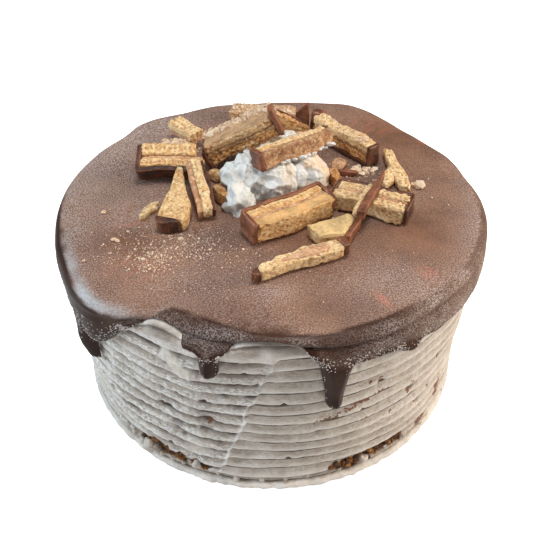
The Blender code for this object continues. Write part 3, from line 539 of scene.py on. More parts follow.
class Nodes:
    """Lays out shader nodes in a material or a group."""

    def __init__(self, tree):
        """Keep the tree that the nodes go into."""
        self.tree = tree

    def add(self, kind, **settings):
        """New node of a kind, with its settings."""
        node = self.tree.nodes.new("ShaderNode" + kind)
        for name, value in settings.items():
            setattr(node, name, value)
        return node

    def join(self, value, socket):
        """Link an output to a socket, or set the socket's own value."""
        if isinstance(value, bpy.types.NodeSocket):
            self.tree.links.new(value, socket)
        else:
            socket.default_value = value

    def here(self):
        """The place on the object, in metres."""
        return self.add("TexCoord").outputs["Object"]

    def mask(self, name):
        """The value of a painted mask."""
        return self.add("Attribute", attribute_name=name).outputs["Fac"]

    def math(self, operation, first, second=0.0):
        """Result of an operation on two values."""
        node = self.add("Math", operation=operation)
        self.join(first, node.inputs[0])
        self.join(second, node.inputs[1])
        return node.outputs[0]

    def times(self, first, second):
        """Product of two values."""
        return self.math("MULTIPLY", first, second)

    def texture(self, place, scale, detail, rough, warp=0.0):
        """Noise texture's value at a place, with a number of cells to the metre."""
        node = self.add("TexNoise")
        settings = {"Vector": place, "Scale": scale, "Detail": detail, "Roughness": rough, "Distortion": warp}
        for name, value in settings.items():
            self.join(value, node.inputs[name])
        return node.outputs["Fac"]

    def noise(self, size, detail=2.0, rough=0.5, warp=0.0, squeeze=1.0):
        """Noise of a size in millimetres, squeezed in height by a factor."""
        place = self.add("VectorMath", operation="MULTIPLY")
        self.join(self.here(), place.inputs[0])
        place.inputs[1].default_value = (1.0, 1.0, squeeze)
        return self.texture(place.outputs["Vector"], 1000 / size, detail, rough, warp)

    def step(self, value, low, high, start=0.0, end=1.0):
        """Smooth step of a value from low to high, between a start and an end."""
        node = self.add("MapRange", interpolation_type="SMOOTHSTEP")
        for number, item in enumerate((value, low, high, start, end)):
            self.join(item, node.inputs[number])
        return node.outputs[0]

    def mix(self, share, first, second):
        """Colour between two, by the second's share."""
        node = self.add("Mix", data_type="RGBA")
        self.join(share, node.inputs["Factor"])
        self.join(first, node.inputs[6])
        self.join(second, node.inputs[7])
        return node.outputs[2]

    def use(self, group, **values):
        """Place a shared group, with its own values for its sockets."""
        node = self.add("Group", node_tree=group)
        for name, value in values.items():
            self.join(value, node.inputs[name])
        return node.outputs


def make_group(name, inputs, outputs):
    """Empty node group: its layer-out, what it is given, and what it gives back."""
    tree = bpy.data.node_groups.new(name, "ShaderNodeTree")
    for label, kind, value in inputs:
        socket = tree.interface.new_socket(label, in_out="INPUT", socket_type="NodeSocket" + kind)
        socket.default_value = value
    for label, kind in outputs:
        tree.interface.new_socket(label, in_out="OUTPUT", socket_type="NodeSocket" + kind)
    given = tree.nodes.new("NodeGroupInput").outputs
    result = tree.nodes.new("NodeGroupOutput").inputs
    return Nodes(tree), given, result


def make_speckle_group():
    """Dots of ice or crumb: fine noise cut at a level that falls as the amount grows."""
    nodes, given, result = make_group(
        "speckle",
        [("Scale", "Float", 2200.0), ("Amount", "Float", 0.5), ("Softness", "Float", 0.12)],
        [("Mask", "Float")],
    )
    grain = nodes.texture(nodes.here(), given["Scale"], 1.5, 0.7)
    level = nodes.step(given["Amount"], 0.0, 1.0, 0.78, 0.3)
    top = nodes.math("ADD", level, given["Softness"])
    nodes.join(nodes.step(grain, level, top), result["Mask"])
    return nodes.tree


def make_mottle_group():
    """Two colours mixed by soft noise, for food that is never one even colour."""
    nodes, given, result = make_group(
        "mottle",
        [("Scale", "Float", 150.0), ("Pale", "Color", (1, 1, 1, 1)), ("Deep", "Color", (0, 0, 0, 1))],
        [("Color", "Color")],
    )
    share = nodes.step(nodes.texture(nodes.here(), given["Scale"], 4.0, 0.62), 0.34, 0.66)
    nodes.join(nodes.mix(share, given["Deep"], given["Pale"]), result["Color"])
    return nodes.tree


def make_grain_group():
    """Fine bump of a grainy surface."""
    nodes, given, result = make_group(
        "grain",
        [("Scale", "Float", 1200.0), ("Height", "Float", 0.0001), ("Strength", "Float", 1.0)],
        [("Normal", "Vector")],
    )
    grain = nodes.texture(nodes.here(), given["Scale"], 3.0, 0.6)
    bump = nodes.add("Bump")
    nodes.join(given["Strength"], bump.inputs["Strength"])
    nodes.join(given["Height"], bump.inputs["Distance"])
    nodes.join(grain, bump.inputs["Height"])
    nodes.join(bump.outputs["Normal"], result["Normal"])
    return nodes.tree


SPECKLE = make_speckle_group()
MOTTLE = make_mottle_group()
GRAIN = make_grain_group()


def new_material(name, **sockets):
    """Material with some of its shader's own sockets set, its nodes' layer-out, and the shader's sockets."""
    material = bpy.data.materials.new(name)
    material.use_nodes = True
    shader = material.node_tree.nodes["Principled BSDF"].inputs
    for label, value in sockets.items():
        shader[label.replace("_", " ")].default_value = value
    return material, Nodes(material.node_tree), shader


def let_light_in(shader, depths):
    """Scatter light under the surface, to a depth in millimetres for red, green and blue."""
    shader["Subsurface Radius"].default_value = [depth * MM for depth in depths]
    shader["Subsurface Scale"].default_value = 1.0


def ganache_material():
    """Brown chocolate cap under a grey bloom of ice, with dark glossy drips.

    Masks: frost is how much ice lies on it, wet_and_shade is how dark and glossy it is, from its drips
    and from painted shade on the drape and under the lip, rust is bare orange brown, and
    shoulder_reflection is a painted blue-white reflection on the shoulder.
    """
    material, n, shader = new_material("ganache_skin", Specular_IOR_Level=0.2)
    brown = n.use(MOTTLE, Scale=42.0, Pale=colour(148, 106, 80), Deep=colour(116, 79, 59))["Color"]
    brown = n.mix(n.mask("rust"), brown, colour(206, 112, 78))
    pits = n.times(n.step(n.noise(0.5, 1.0), 0.5, 0.34), 0.45)
    brown = n.mix(pits, brown, colour(76, 46, 34))
    syrup = n.mix(n.noise(7.0, 3.0), colour(26, 11, 7), colour(60, 31, 20))
    # dark syrup mixed in on the drips, and as painted shade on the drape and under the lip
    skin = n.mix(n.mask("wet_and_shade"), brown, syrup)
    grit = n.step(n.noise(0.46, 1.0, 0.6), 0.44, 0.6)
    veil = n.times(n.mask("frost"), n.math("ADD", 0.12, n.times(grit, 0.95)))
    skin = n.mix(veil, skin, colour(200, 188, 184))
    # painted reflection: blue-white sheen where the left shoulder rolls over
    painted_reflection = n.times(n.mask("shoulder_reflection"), n.math("ADD", 0.7, n.times(grit, 0.3)))
    n.join(n.mix(painted_reflection, skin, colour(196, 204, 212)), shader["Base Color"])
    n.join(n.step(n.mask("wet_and_shade"), 0.2, 1.0, 0.62, 0.4), shader["Roughness"])
    smoothed = n.step(n.mask("wet_and_shade"), 0.0, 1.0, 0.7, 0.12)
    n.join(n.use(GRAIN, Scale=1600.0, Height=0.00012, Strength=smoothed)["Normal"], shader["Normal"])
    return material


def frosting_material():
    """Pale greige frosting with soft grey patches, torn crests with a painted highlight, and brown crumb
    stains.

    Masks: stain is crumb drawn along by the comb, crest_highlight is the painted highlight on the thin
    torn edge, cream is a wiped patch, hollow is the painted shadow under a crest, and crust is the
    rough rim at the left of the seam, speckled with painted highlight and painted shade.
    """
    material, n, shader = new_material("frosting_skin", Roughness=0.55, Subsurface_Weight=0.12)
    let_light_in(shader, (0.6, 0.5, 0.4))
    base = n.use(MOTTLE, Scale=90.0, Pale=colour(213, 203, 192), Deep=colour(180, 166, 152))["Color"]
    # painted highlight: blue-white specks on the rough crust at the left of the seam
    bright = n.step(n.noise(2.0, 3.0, 0.65, squeeze=4.5), 0.47, 0.57)
    bright = n.times(bright, n.step(n.mask("crust"), 0.0, 1.0, 0.25, 1.0))
    base = n.mix(bright, base, colour(250, 252, 255))
    # painted shade: grey-brown specks on the same crust
    dull = n.step(n.noise(1.3, 2.0, 0.6, squeeze=1.5), 0.48, 0.34)
    dull = n.times(dull, n.step(n.mask("crust"), 0.0, 1.0, 0.3, 0.9))
    base = n.mix(dull, base, colour(138, 129, 120))
    base = n.mix(n.mask("hollow"), base, colour(72, 54, 43))
    base = n.mix(n.times(n.mask("cream"), 0.85), base, colour(230, 225, 212))
    # painted highlight on the comb lines' crests, the seam, the cap's lip, the peak and the patches' rims
    base = n.mix(n.times(n.mask("crest_highlight"), 0.9), base, colour(255, 252, 249))
    specks = n.times(n.math("SUBTRACT", n.noise(0.9, 2.0), 0.5), 1.6)
    stain = n.times(n.step(n.math("ADD", n.mask("stain"), specks), 0.4, 0.62), 0.92)
    n.join(n.mix(stain, base, colour(118, 68, 38)), shader["Base Color"])
    rise = n.step(n.mask("crust"), 0.0, 1.0, 0.0004, 0.001)
    n.join(n.use(GRAIN, Scale=750.0, Height=rise, Strength=0.9)["Normal"], shader["Normal"])
    return material


def cream_material():
    """White whipped cream, tan towards its right side."""
    material, n, shader = new_material("cream_skin", Roughness=0.5, Subsurface_Weight=0.35)
    let_light_in(shader, (1.2, 1.0, 0.8))
    white = n.use(MOTTLE, Scale=180.0, Pale=colour(240, 243, 243), Deep=colour(220, 223, 222))["Color"]
    n.join(n.mix(n.mask("stain"), white, colour(236, 212, 182)), shader["Base Color"])
    n.join(n.use(GRAIN, Scale=480.0, Height=0.0006, Strength=0.7)["Normal"], shader["Normal"])
    return material


def darker(tone, share):
    """A colour with its light cut to a share."""
    return (*[share * channel for channel in tone[:3]], 1)


def wafer_material(name, pale, deep, skin):
    """Crumbly baked wafer: pale crumb with painted shade in its pores, and a skin colour where the mask says
    so.
    """
    material, n, shader = new_material(name, Roughness=0.85)
    crumb = n.use(MOTTLE, Scale=420.0, Pale=pale, Deep=deep)["Color"]
    face = n.use(MOTTLE, Scale=190.0, Pale=skin, Deep=darker(skin, 0.66))["Color"]
    crumb = n.mix(n.mask("skin"), crumb, face)
    open_crumb = n.step(n.mask("skin"), 0.0, 1.0, 1.0, 0.35)
    # painted shade of pores: dark holes of noise on the open crumb
    holes = n.times(n.step(n.noise(0.9, 2.0, 0.6), 0.43, 0.36), n.times(open_crumb, 0.6))
    crumb = n.mix(holes, crumb, colour(164, 100, 50))
    flour = n.times(n.step(n.noise(1.0, 2.0, 0.6), 0.52, 0.62), n.times(open_crumb, 0.6))
    crumb = n.mix(flour, crumb, colour(255, 238, 200))
    # painted shade in the sunk pores and cells
    pits = n.times(n.mask("pore"), n.times(open_crumb, 0.7))
    n.join(n.mix(pits, crumb, colour(172, 106, 52)), shader["Base Color"])
    n.join(n.use(GRAIN, Scale=1000.0, Height=0.0004, Strength=0.8)["Normal"], shader["Normal"])
    return material


def filling_material(name, pale, deep):
    """Tan cream filling with pinhole pores in painted shade."""
    material, n, shader = new_material(name, Roughness=0.7)
    base = n.use(MOTTLE, Scale=300.0, Pale=pale, Deep=deep)["Color"]
    flour = n.times(n.step(n.noise(1.3, 2.0, 0.6), 0.5, 0.66), 0.5)
    base = n.mix(flour, base, colour(250, 222, 186))
    # painted shade of pores: dark holes of noise and the sunk pores
    holes = n.times(n.step(n.noise(1.2, 2.0, 0.6), 0.42, 0.34), 0.5)
    holes = n.math("MAXIMUM", holes, n.times(n.mask("pore"), 0.6))
    n.join(n.mix(holes, base, darker(deep, 0.4)), shader["Base Color"])
    n.join(n.use(GRAIN, Scale=1100.0, Height=0.0005, Strength=0.8)["Normal"], shader["Normal"])
    return material


def chocolate_material(name, pale, deep):
    """Brown coating, smooth with dusty scuffs on its edges."""
    material, n, shader = new_material(name, Coat_Weight=0.12, Coat_Roughness=0.3)
    base = n.use(MOTTLE, Scale=160.0, Pale=pale, Deep=deep)["Color"]
    base = n.mix(n.times(n.mask("edge"), 0.5), base, colour(172, 112, 78))
    specks = n.use(SPECKLE, Scale=900.0, Amount=0.4)["Mask"]
    dust = n.times(specks, n.step(n.mask("edge"), 0.0, 1.0, 0.14, 0.9))
    n.join(n.mix(dust, base, colour(206, 162, 122)), shader["Base Color"])
    n.join(n.step(n.noise(2.5), 0.3, 0.7, 0.36, 0.6), shader["Roughness"])
    n.join(n.use(GRAIN, Scale=700.0, Height=0.0004, Strength=0.7)["Normal"], shader["Normal"])
    return material


def crumb_material(name, pale, deep):
    """Crumbs, each with its own tone from its shade mask; on the crumb base it also holds painted shade
    between the clumps.
    """
    material, n, shader = new_material(name, Roughness=0.8)
    n.join(n.mix(n.mask("shade"), deep, pale), shader["Base Color"])
    n.join(n.use(GRAIN, Scale=2000.0, Height=0.0002, Strength=0.8)["Normal"], shader["Normal"])
    return material


def make_materials():
    """All the materials, by the short names that the pieces use."""
    kinds = (
        (wafer_material, "wafer", WAFER_TONES), (filling_material, "filling", FILLING_TONES),
        (chocolate_material, "coat", COAT_TONES), (crumb_material, "crumb", CRUMB_TONES),
        (crumb_material, "bead", BEAD_TONES),
    )
    made = {"frosting": frosting_material(), "ganache": ganache_material(), "cream": cream_material()}
    for maker, kind, tones in kinds:
        for name, numbers in tones.items():
            made[name] = maker(f"{name}_{kind}", *[colour(*tone) for tone in numbers])
    return made


# ---------------------------------------------------------------- frosting
def seam_line(heights):
    """Angle of the slanting line where the comb was lifted."""
    return SEAM_ANGLE + (heights - 1) * SEAM_LEAN


def seam_share(angles, heights):
    """1 to the left of the seam, and 0 to its right."""
    away = (seam_line(heights) - angles + 180) % 360 - 180
    return smooth(away, -0.6, 0.6) * smooth(away, 170, 150)


def frosting_wave(angles, heights):
    """How far a comb line wanders up or down: the sum of two slow sines round the drum."""
    slow = np.sin(np.radians(3 * angles) + heights / 17)
    quick = 0.6 * np.sin(np.radians(7 * angles) - heights / 9)
    return 0.55 * (slow + quick)


def patch_mask(angles, heights, flat):
    """1 on the wiped patches, which have ragged edges, and 0 off them."""
    inside = 0
    for angle, height, wide, tall, lean in PATCHES:
        leaned = angles - lean * (heights - height) + 1.1 * clouds(flat, 3.4, 3, 24)
        inside = inside + near(np.stack([leaned, heights], -1), (angle, height), (wide, tall))
    return smooth(inside, 0.25, 0.7)


def gap_middle(angles, middle):
    """Height of a foot gap's middle, which wanders as it goes round."""
    return middle + 0.6 * np.sin(np.radians(angles * 17))


def gap_mask(points, angles, heights):
    """1 inside the ragged gaps at the foot, and 0 outside, from the distance to each gap's ellipse."""
    inside = 0
    for first, last, middle, half in FOOT_GAPS:
        across = (angles - (first + last) / 2) / ((last - first) / 2)
        rise = (heights - gap_middle(angles, middle)) / half
        size = np.abs(across) ** 3 + rise**2 + 0.35 * clouds(points, 2.6, 2, 41)
        inside = np.maximum(inside, smooth(size, 1.05, 0.6))
    return inside


def comb_rows():
    """(height, share of the depth inward, paleness) of the rows that follow the comb lines down."""
    rows = []
    for ridge in range(RIDGES):
        for down, inward, pale in COMB:
            height = FIRST_CREST - RIDGE_PITCH * (ridge + down)
            if height > FOOT_TOP:
                rows.append((height, inward, pale))
    return np.array(rows)


def drum_columns():
    """Angles of the frosting's columns, closer together round the seam and the torn front."""
    fine = np.linspace(-180, 180, 3601)
    return even_columns(fine, 1 + smooth(bell(fine, -92, 70), 0.2, 0.7), FROSTING_COLUMNS)


class Drum:
    """Grid of the frosting, a row for each point of its profile, and the features that lie on it.

    angles and heights are the grid's, and flat is the grid on a plain drum. combed is the slice of
    rows with comb lines, and side is 1 on them. left is 1 left of the seam, where the comb tore the
    frosting, patch is 1 where it is wiped smooth, and gap is 1 where the base shows at the foot.
    seam is the ridge along the seam, peak the tip that stands up in front, lip the raised edge that
    the cap pushed up, which gets a painted highlight, and bite the depth of the torn pits.
    """

    def __init__(self):
        """Lay out the rows and columns, let the comb lines wander, and find each feature."""
        columns = drum_columns()
        self.shoulder, self.comb, self.foot = np.array(SHOULDER_ROWS), comb_rows(), np.array(FOOT_ROWS)
        self.combed = slice(len(self.shoulder), len(self.shoulder) + len(self.comb))
        self.rise = shoulder_lift(columns)
        heights = self.column(self.shoulder[:, 0], self.comb[:, 0], self.foot[:, 0]) + 0 * columns
        heights[:self.combed.start] += self.shoulder[:, 2:3] * self.rise
        self.side = self.column(0, 1, 0)
        self.angles = np.broadcast_to(columns, heights.shape)
        self.flat = polar(self.angles, FROSTING_RADIUS, heights)
        self.left = seam_share(self.angles, heights)
        self.rough = 0.35 + 0.65 * self.left + 0.35 * clouds(self.flat, 40, 2, 5)
        self.patch = patch_mask(self.angles, heights, self.flat)
        self.heights = heights + self.side * self.wander(heights) * smooth(heights, FOOT_TOP, FOOT_TOP + 4)
        self.find_features(columns)

    def column(self, shoulder, comb, foot):
        """One value to a row, out of a value or a list for each of the profile's three stretches."""
        stretches = ((shoulder, self.shoulder), (comb, self.comb), (foot, self.foot))
        return np.concatenate([np.broadcast_to(value, len(rows)) for value, rows in stretches])[:, None]

    def wander(self, heights):
        """How far the comb lines stray up or down."""
        stray = frosting_wave(self.angles, heights) + 0.5 * self.left * np.sin(np.radians(11 * self.angles))
        return stray - 1.6 * self.left + 0.24 * clouds(self.flat, 12, 3, 6) * self.rough

    def find_features(self, columns):
        """Work out the seam, peak, lip, bites and gaps from the angles and heights."""
        angles, heights, flat = self.angles, self.heights, self.flat
        self.stretched = np.stack([angles * DEGREE / 3.2, heights, 0 * angles], -1)
        line = seam_line(heights) + 0.7 * noise(flat * (0, 0, 1), 4.0, 14) + 0.3 * noise(flat, 1.6, 15)
        self.seam = bell(angles, line, 0.3) * smooth(heights, 5, 10) * smooth(heights, 66, 61)
        self.seam = self.seam * smooth(noise(flat, 5, 16), -0.9, -0.1)
        leaned = np.stack([angles + 0.35 * (heights - 65.5), heights], -1)
        self.peak = near(leaned, (-90.4, 65.5), (1.5, 2.6))
        skirt = hem_curve(columns)[None] - heights
        self.lip = 0.7 * np.exp(-(((skirt - 0.3) / 0.36) ** 2)) * (0.75 + 0.25 * clouds(flat, 8, 2, 15))
        self.rim = self.patch * (1 - self.patch) * 4
        self.gap = gap_mask(flat, angles, heights)
        place = np.stack([angles, heights], -1)
        self.bite = 0
        for angle, height, half, depth in PITS:
            reach = (1.2 * half / DEGREE, 0.85 * half)
            self.bite = self.bite + depth * near(place, (angle, height), reach)


def torn_surface(drum):
    """How far noise, pits, holes, the seam, the peak and the lip move the drum's side outward."""
    flat = drum.flat
    torn = (0.15 * drum.rough + 0.06 * drum.left) * clouds(flat, 1.6, 2, 11)
    torn = torn + 0.08 * clouds(drum.stretched, 1.4, 2, 12)
    torn = torn + 1.3 * drum.peak
    lump = 0.28 * clouds(flat, 12, 2, 13)
    holes = smooth(cell_distance(flat, 7.5, 17), 0.17, 0.06) * 0.8
    raised = 0.55 * drum.seam + 0.5 * drum.rim + 0.3 * drum.patch + drum.lip
    return torn + lump - drum.bite - holes + raised


def comb_depth(drum):
    """Depth of the comb lines, which is uneven and fades on the wiped patches."""
    depth = 0.74 + 0.34 * clouds(drum.flat * (1, 1, 1.7), 13, 3, 8)
    depth = depth + 0.26 * drum.left * noise(drum.flat, 5, 9)
    return RIDGE_DEPTH * np.maximum(depth, 0.15) * (1 - drum.patch)


def foot_swing(drum):
    """How far the foot's bead swells in front, and draws in elsewhere."""
    flare = 0.2 + 0.8 * bell(drum.angles, -84, 56)
    rough = 0.65 * clouds(drum.flat, 2.6, 2, 19) - 0.3
    return drum.column(0, 0, drum.foot[:, 2]) * ((flare - 1) * 1.7 + rough * flare)


def drum_radius(drum):
    """Radius of each point: the profile, combed, torn, swollen at the foot, and cut back at its gaps."""
    radius = drum.column(drum.shoulder[:, 1], FROSTING_RADIUS, drum.foot[:, 1]) + 0 * drum.angles
    radius[drum.combed] -= comb_depth(drum)[drum.combed] * drum.comb[:, 1:2]
    dented = 0.3 * (1 + np.sin(np.radians(5 * drum.angles) + drum.heights / 6))
    radius = radius - drum.side * dented
    radius = radius + drum.side * torn_surface(drum)
    radius = radius + foot_swing(drum)
    outside = drum.column(1, 1, drum.foot[:, 5])
    return radius - outside * drum.gap * np.maximum(radius - 73.75, 0)


def stain_mask(drum, heights):
    """Brown crumb: streaks drawn along the comb lines, broken up by noise, and dirt in the gaps."""
    place = np.stack([drum.angles, heights], -1)
    stain = sum(share * near(place, (turn, z), (wide, 1.7 * tall)) for turn, z, wide, tall, share in STAINS)
    ragged = smooth(clouds(drum.stretched * (0.8, 1.6, 1), 1.4, 2, 29), -0.5, 0.3)
    return np.clip(1.6 * stain * (0.55 + 0.45 * ragged), 0, 1) + 0.5 * drum.gap


def crest_highlight_mask(drum):
    """Painted highlight on the edges: the comb lines' crests, the seam, the cap's lip, the peak and the
    patches' rims.
    """
    pale = drum.column(0, drum.comb[:, 2], drum.foot[:, 3])
    crests = pale * (0.75 + 0.25 * clouds(drum.flat, 4, 2, 30)) + 0.8 * drum.seam
    return crests + np.clip(drum.lip, 0, 1) + 0.6 * drum.peak + 0.5 * drum.rim


def hollow_mask(drum):
    """Shadow in the comb lines, over the foot's bead, on the lifted shoulder and in the pits."""
    left, inward = drum.left[drum.combed], drum.comb[:, 1:2]
    hollow = drum.column(0, 0, drum.foot[:, 4]) + 0 * drum.heights
    hollow[drum.combed] = smooth(inward, 0.67 - 0.12 * left, 0.81 - 0.04 * left)
    hollow[drum.combed] = np.maximum(hollow[drum.combed], 0.12 * smooth(inward, 0.1, 0.7))
    faded = smooth(clouds(drum.flat * (1, 1, 2.2), 6, 3, 43), -0.1, 0.6)
    uneven = 0.75 + 0.25 * smooth(clouds(drum.flat, 5, 2, 31), -0.6, 0.6)
    hollow = hollow * (1 - 0.65 * drum.left * faded) * (1 - drum.patch) * (1 - drum.peak) * uneven
    hollow[:drum.combed.start] = drum.shoulder[:, 3:4] * drum.rise / SHOULDER_RISE
    return np.maximum(hollow, 0.85 * smooth(drum.bite, 0.3, 0.75))


def crust_mask(drum):
    """Rough rims of the comb lines at the left of the seam, in patches."""
    rims = drum.column(0, smooth(drum.comb[:, 1], 0.62, 0.1), 0)
    clumps = smooth(clouds(drum.flat * (1, 1, 1.6), 9, 3, 32), -0.9, 0.4)
    return drum.left * rims * clumps * (1 - drum.patch)


def build_frosting(material):
    """Comb-ridged drum: rows follow the comb lines down the side, and noise tears the crests."""
    drum = Drum()
    outside = drum.column(0, 0, drum.foot[:, 5])
    heights = drum.heights + outside * 0.3 * clouds(drum.flat, 6, 2, 23)
    masks = {
        "stain": stain_mask(drum, heights), "crest_highlight": crest_highlight_mask(drum), "cream": drum.patch,
        "hollow": hollow_mask(drum), "crust": crust_mask(drum),
    }
    masks = {name: np.clip(mask, 0, 1) for name, mask in masks.items()}
    Form().shell(polar(drum.angles, drum_radius(drum), heights), **masks).finish(
        "frosting_drum", material, "frosting", "frosting")


def build_crumb_base(material):
    """Crumb disc under the frosting: a rough side in clumps, closed over its top and underside."""
    angles = np.arange(BASE_COLUMNS) * 360 / BASE_COLUMNS - 180
    profile = [(0, 30.0), (0, 60.0), (0, 70.0), (0, 72.0), (0.5, 72.8)]
    profile += [(height, BASE_RADIUS) for height in np.arange(1.1, 10.5, 0.6)]
    profile += [(10.6, 72.8), (BASE_HEIGHT, 72.2), (BASE_HEIGHT, 60.0), (BASE_HEIGHT, 30.0)]
    profile = np.array(profile)
    a = np.broadcast_to(angles, (len(profile), len(angles)))
    flat = polar(a, profile[:, 1:], profile[:, :1])
    inner = smooth(profile[:, 0], 0.4, 1.4) * smooth(profile[:, 0], 10.9, 10.2)
    clump = cell_distance(flat, 1.9, 3)
    radius = profile[:, 1:] - inner[:, None] * (0.9 * clump + 0.25 * (1 + clouds(flat, 1.2, 2, 4)))
    # shade: a random tone for each clump, falling to the deep colour as painted shade in the sunk gaps
    # between clumps
    shade = smooth(lattice(np.floor(flat / 1.9), 9), 0.2, 0.9) * (1 - smooth(clump, 0.3, 0.8))
    rows = polar(a, radius, profile[:, :1] + 0 * a)
    Form().shell(rows, shade=shade).finish("crumb_disc", material, "crumb_base", "crumb_base")


def build_gap_crumbs(material):
    """Crumbs of the base in the gaps at the foot, scattered by seeded draws over each gap's ellipse."""
    chance = np.random.default_rng(51)
    form = Form()
    for first, last, middle, half in FOOT_GAPS:
        count = int((last - first) * 9)
        turn = chance.uniform(first + 1, last - 1, count)
        swell = np.sqrt(np.clip(1 - ((turn - (first + last) / 2) / ((last - first) / 2)) ** 2, 0, 1))
        height = gap_middle(turn, middle) + half * swell * chance.uniform(-1, 1, count)
        reach = chance.uniform(73.6, 74.7, count)
        size = chance.uniform(0.4, 1.25, count)
        form.scatter(polar(turn, reach, height), size, 52, shade=chance.uniform(0, 1, count) ** 1.6)
    form.finish("gap_crumbs", material, "crumb_base", flat_shaded=True)


def build_foot_lumps(material):
    """Small lumps of frosting along the foot and in its gaps."""
    form = Form()
    for number, (turn, height, size) in enumerate(FOOT_LUMPS):
        centre = polar(turn, 74.6 + 0.35 * size, height)
        form.shell(lump_rows(centre, (size, size, 0.85 * size), 60 + number, 0.4), cream=0.2)
    form.finish("foot_lumps", material, "frosting")


def lump_rows(centre, radii, seed, rough, around=20, count=14):
    """Rough ball: an ellipsoid whose radius is stretched by noise."""
    turn = np.arange(around) * 2 * math.pi / around
    rise = (np.arange(count) + 0.5) * math.pi / count
    sphere = np.stack(np.broadcast_arrays(
        np.sin(rise)[:, None] * np.cos(turn), np.sin(rise)[:, None] * np.sin(turn),
        np.cos(rise)[:, None] + 0 * turn), -1)
    stretch = 1 + rough * clouds(sphere + 10 * seed, 0.7, 3, seed)
    return sphere * stretch[..., None] * np.array(radii) + np.asarray(centre)


# ---------------------------------------------------------------- ganache
def plain_hem(angles):
    """Height of the cap's lower edge before its drips."""
    return round_table(HEM, angles, 0.8)


def hem_curve(angles):
    """Height of the cap's lower edge: the plain hem, cut down by each drip.

    A drip's end is a half circle as wide as the drip. Beyond that half width its sides rise by a
    square root and flare into the hem, and the two are blended where they meet.
    """
    hem = plain_hem(angles)
    for centre, tip, width in DRIPS:
        half = width / 2
        away = np.abs((angles - centre + 180) % 360 - 180) * math.radians(1) * DRAPE_RADIUS
        across = np.clip(away / half, 0, 1)
        beyond = np.maximum(away - half, 0)
        drop = tip + half * (1 - np.sqrt(1 - across**2))
        drop = drop + 10 * (np.sqrt(beyond + 0.04) - 0.2) + 0.3 * beyond**2
        blend = np.clip(0.5 + 0.5 * (hem - drop) / HEM_BLEND, 0, 1)
        hem = hem * (1 - blend) + drop * blend - HEM_BLEND * blend * (1 - blend)
    return hem


def shoulder_lift(angles):
    """How far the frosting's shoulder rises where the cap's edge only rests on it."""
    return np.clip(hem_curve(angles) - 68.1, 0, SHOULDER_RISE)


def cap_columns():
    """Angles of the cap's columns: close together where a drip's edge is steep, wider elsewhere."""
    fine = np.linspace(-180, 180, 7201)
    density = np.full(fine.shape, 2.2)
    for centre, _, width in DRIPS:
        half = width / 2 / DRAPE_RADIUS * 180 / math.pi
        beside = np.abs((fine - centre + 180) % 360 - 180) - half
        density += 4.2 * np.exp(-((beside / (0.7 * half)) ** 2))
    return even_columns(fine, density, CAP_COLUMNS)


def edge_distance(arcs, heights, hem):
    """Distance on the unrolled side from each point to the nearest stretch of the hem's line."""
    nearest = np.full(heights.shape, 99.0)
    turn = arcs[-1] + (arcs[1] - arcs[0]) - arcs[0]
    for shift in range(-EDGE_COLUMNS, EDGE_COLUMNS):
        a0, a1 = np.roll(arcs, -shift), np.roll(arcs, -shift - 1)
        h0, h1 = np.roll(hem, -shift), np.roll(hem, -shift - 1)
        x0 = (a0 - arcs + turn / 2) % turn - turn / 2
        x1 = (a1 - arcs + turn / 2) % turn - turn / 2
        step = np.stack([x1 - x0, h1 - h0], -1)
        reach = np.stack([-x0 + 0 * heights, heights - h0], -1)
        share = np.clip((reach * step).sum(-1) / np.maximum((step**2).sum(-1), 1e-9), 0, 1)
        gap = reach - share[..., None] * step
        nearest = np.minimum(nearest, np.hypot(gap[..., 0], gap[..., 1]))
    return nearest


class Cap:
    """The ganache at each of its columns' angles.

    lip is the radius of the top's edge, drop and width are the rolled shoulder's, hem is the height
    of the lower edge, and wall is the radius of the inside. onto is 1 where the hem rests on the
    frosting's lifted shoulder and 0 where it hangs free of it. drape is the slice of the grid's rows
    from under the lip to the hem.
    """

    def __init__(self):
        """Read the tables at the columns' angles."""
        self.angles = cap_columns()
        lip = round_table(LIP, self.angles, 2.0)
        self.hem = hem_curve(self.angles)
        self.onto = smooth(self.hem, 66.2, 68.8)
        self.wall = CAP_INNER * (1 - self.onto) + (lip - 1.2) * self.onto
        self.lip = lip + 0.25 * noise(polar(self.angles, 78, 0), 9, 31)
        self.width = round_table([(angle, width) for angle, width, _ in SHOULDER], self.angles, 3.0)
        self.drop = round_table([(angle, drop) for angle, _, drop in SHOULDER], self.angles, 3.0)
        rows_above = len(FLAT_SHARES) + len(ROLL_TURNS) + 3
        self.drape = slice(rows_above, rows_above + DRAPE_ROWS)


def cap_top(cap):
    """(radii, heights) of each row over the flat top, round the shoulder and into the lip's crease."""
    lip, edge = cap.lip, TOP - cap.drop
    rows = [(share * (lip - cap.width), TOP + 0 * lip) for share in FLAT_SHARES]
    for turn in ROLL_TURNS:
        bend = math.radians(turn)
        inset = cap.width * (1 - math.sin(bend)) ** 1.1
        rows.append((lip - inset, TOP - cap.drop * (1 - math.cos(bend))))
    crease = 0.3 + 2.2 * bell(cap.angles, -80, 11) + 0.25 * bell(cap.angles, -58, 12)
    rows.append((lip - 0.15, edge - 0.4))
    rows.append((lip - 0.55 * crease, edge - 0.8))
    rows.append((np.maximum(lip - crease, cap.wall - 0.6), edge - 1.3))
    return rows


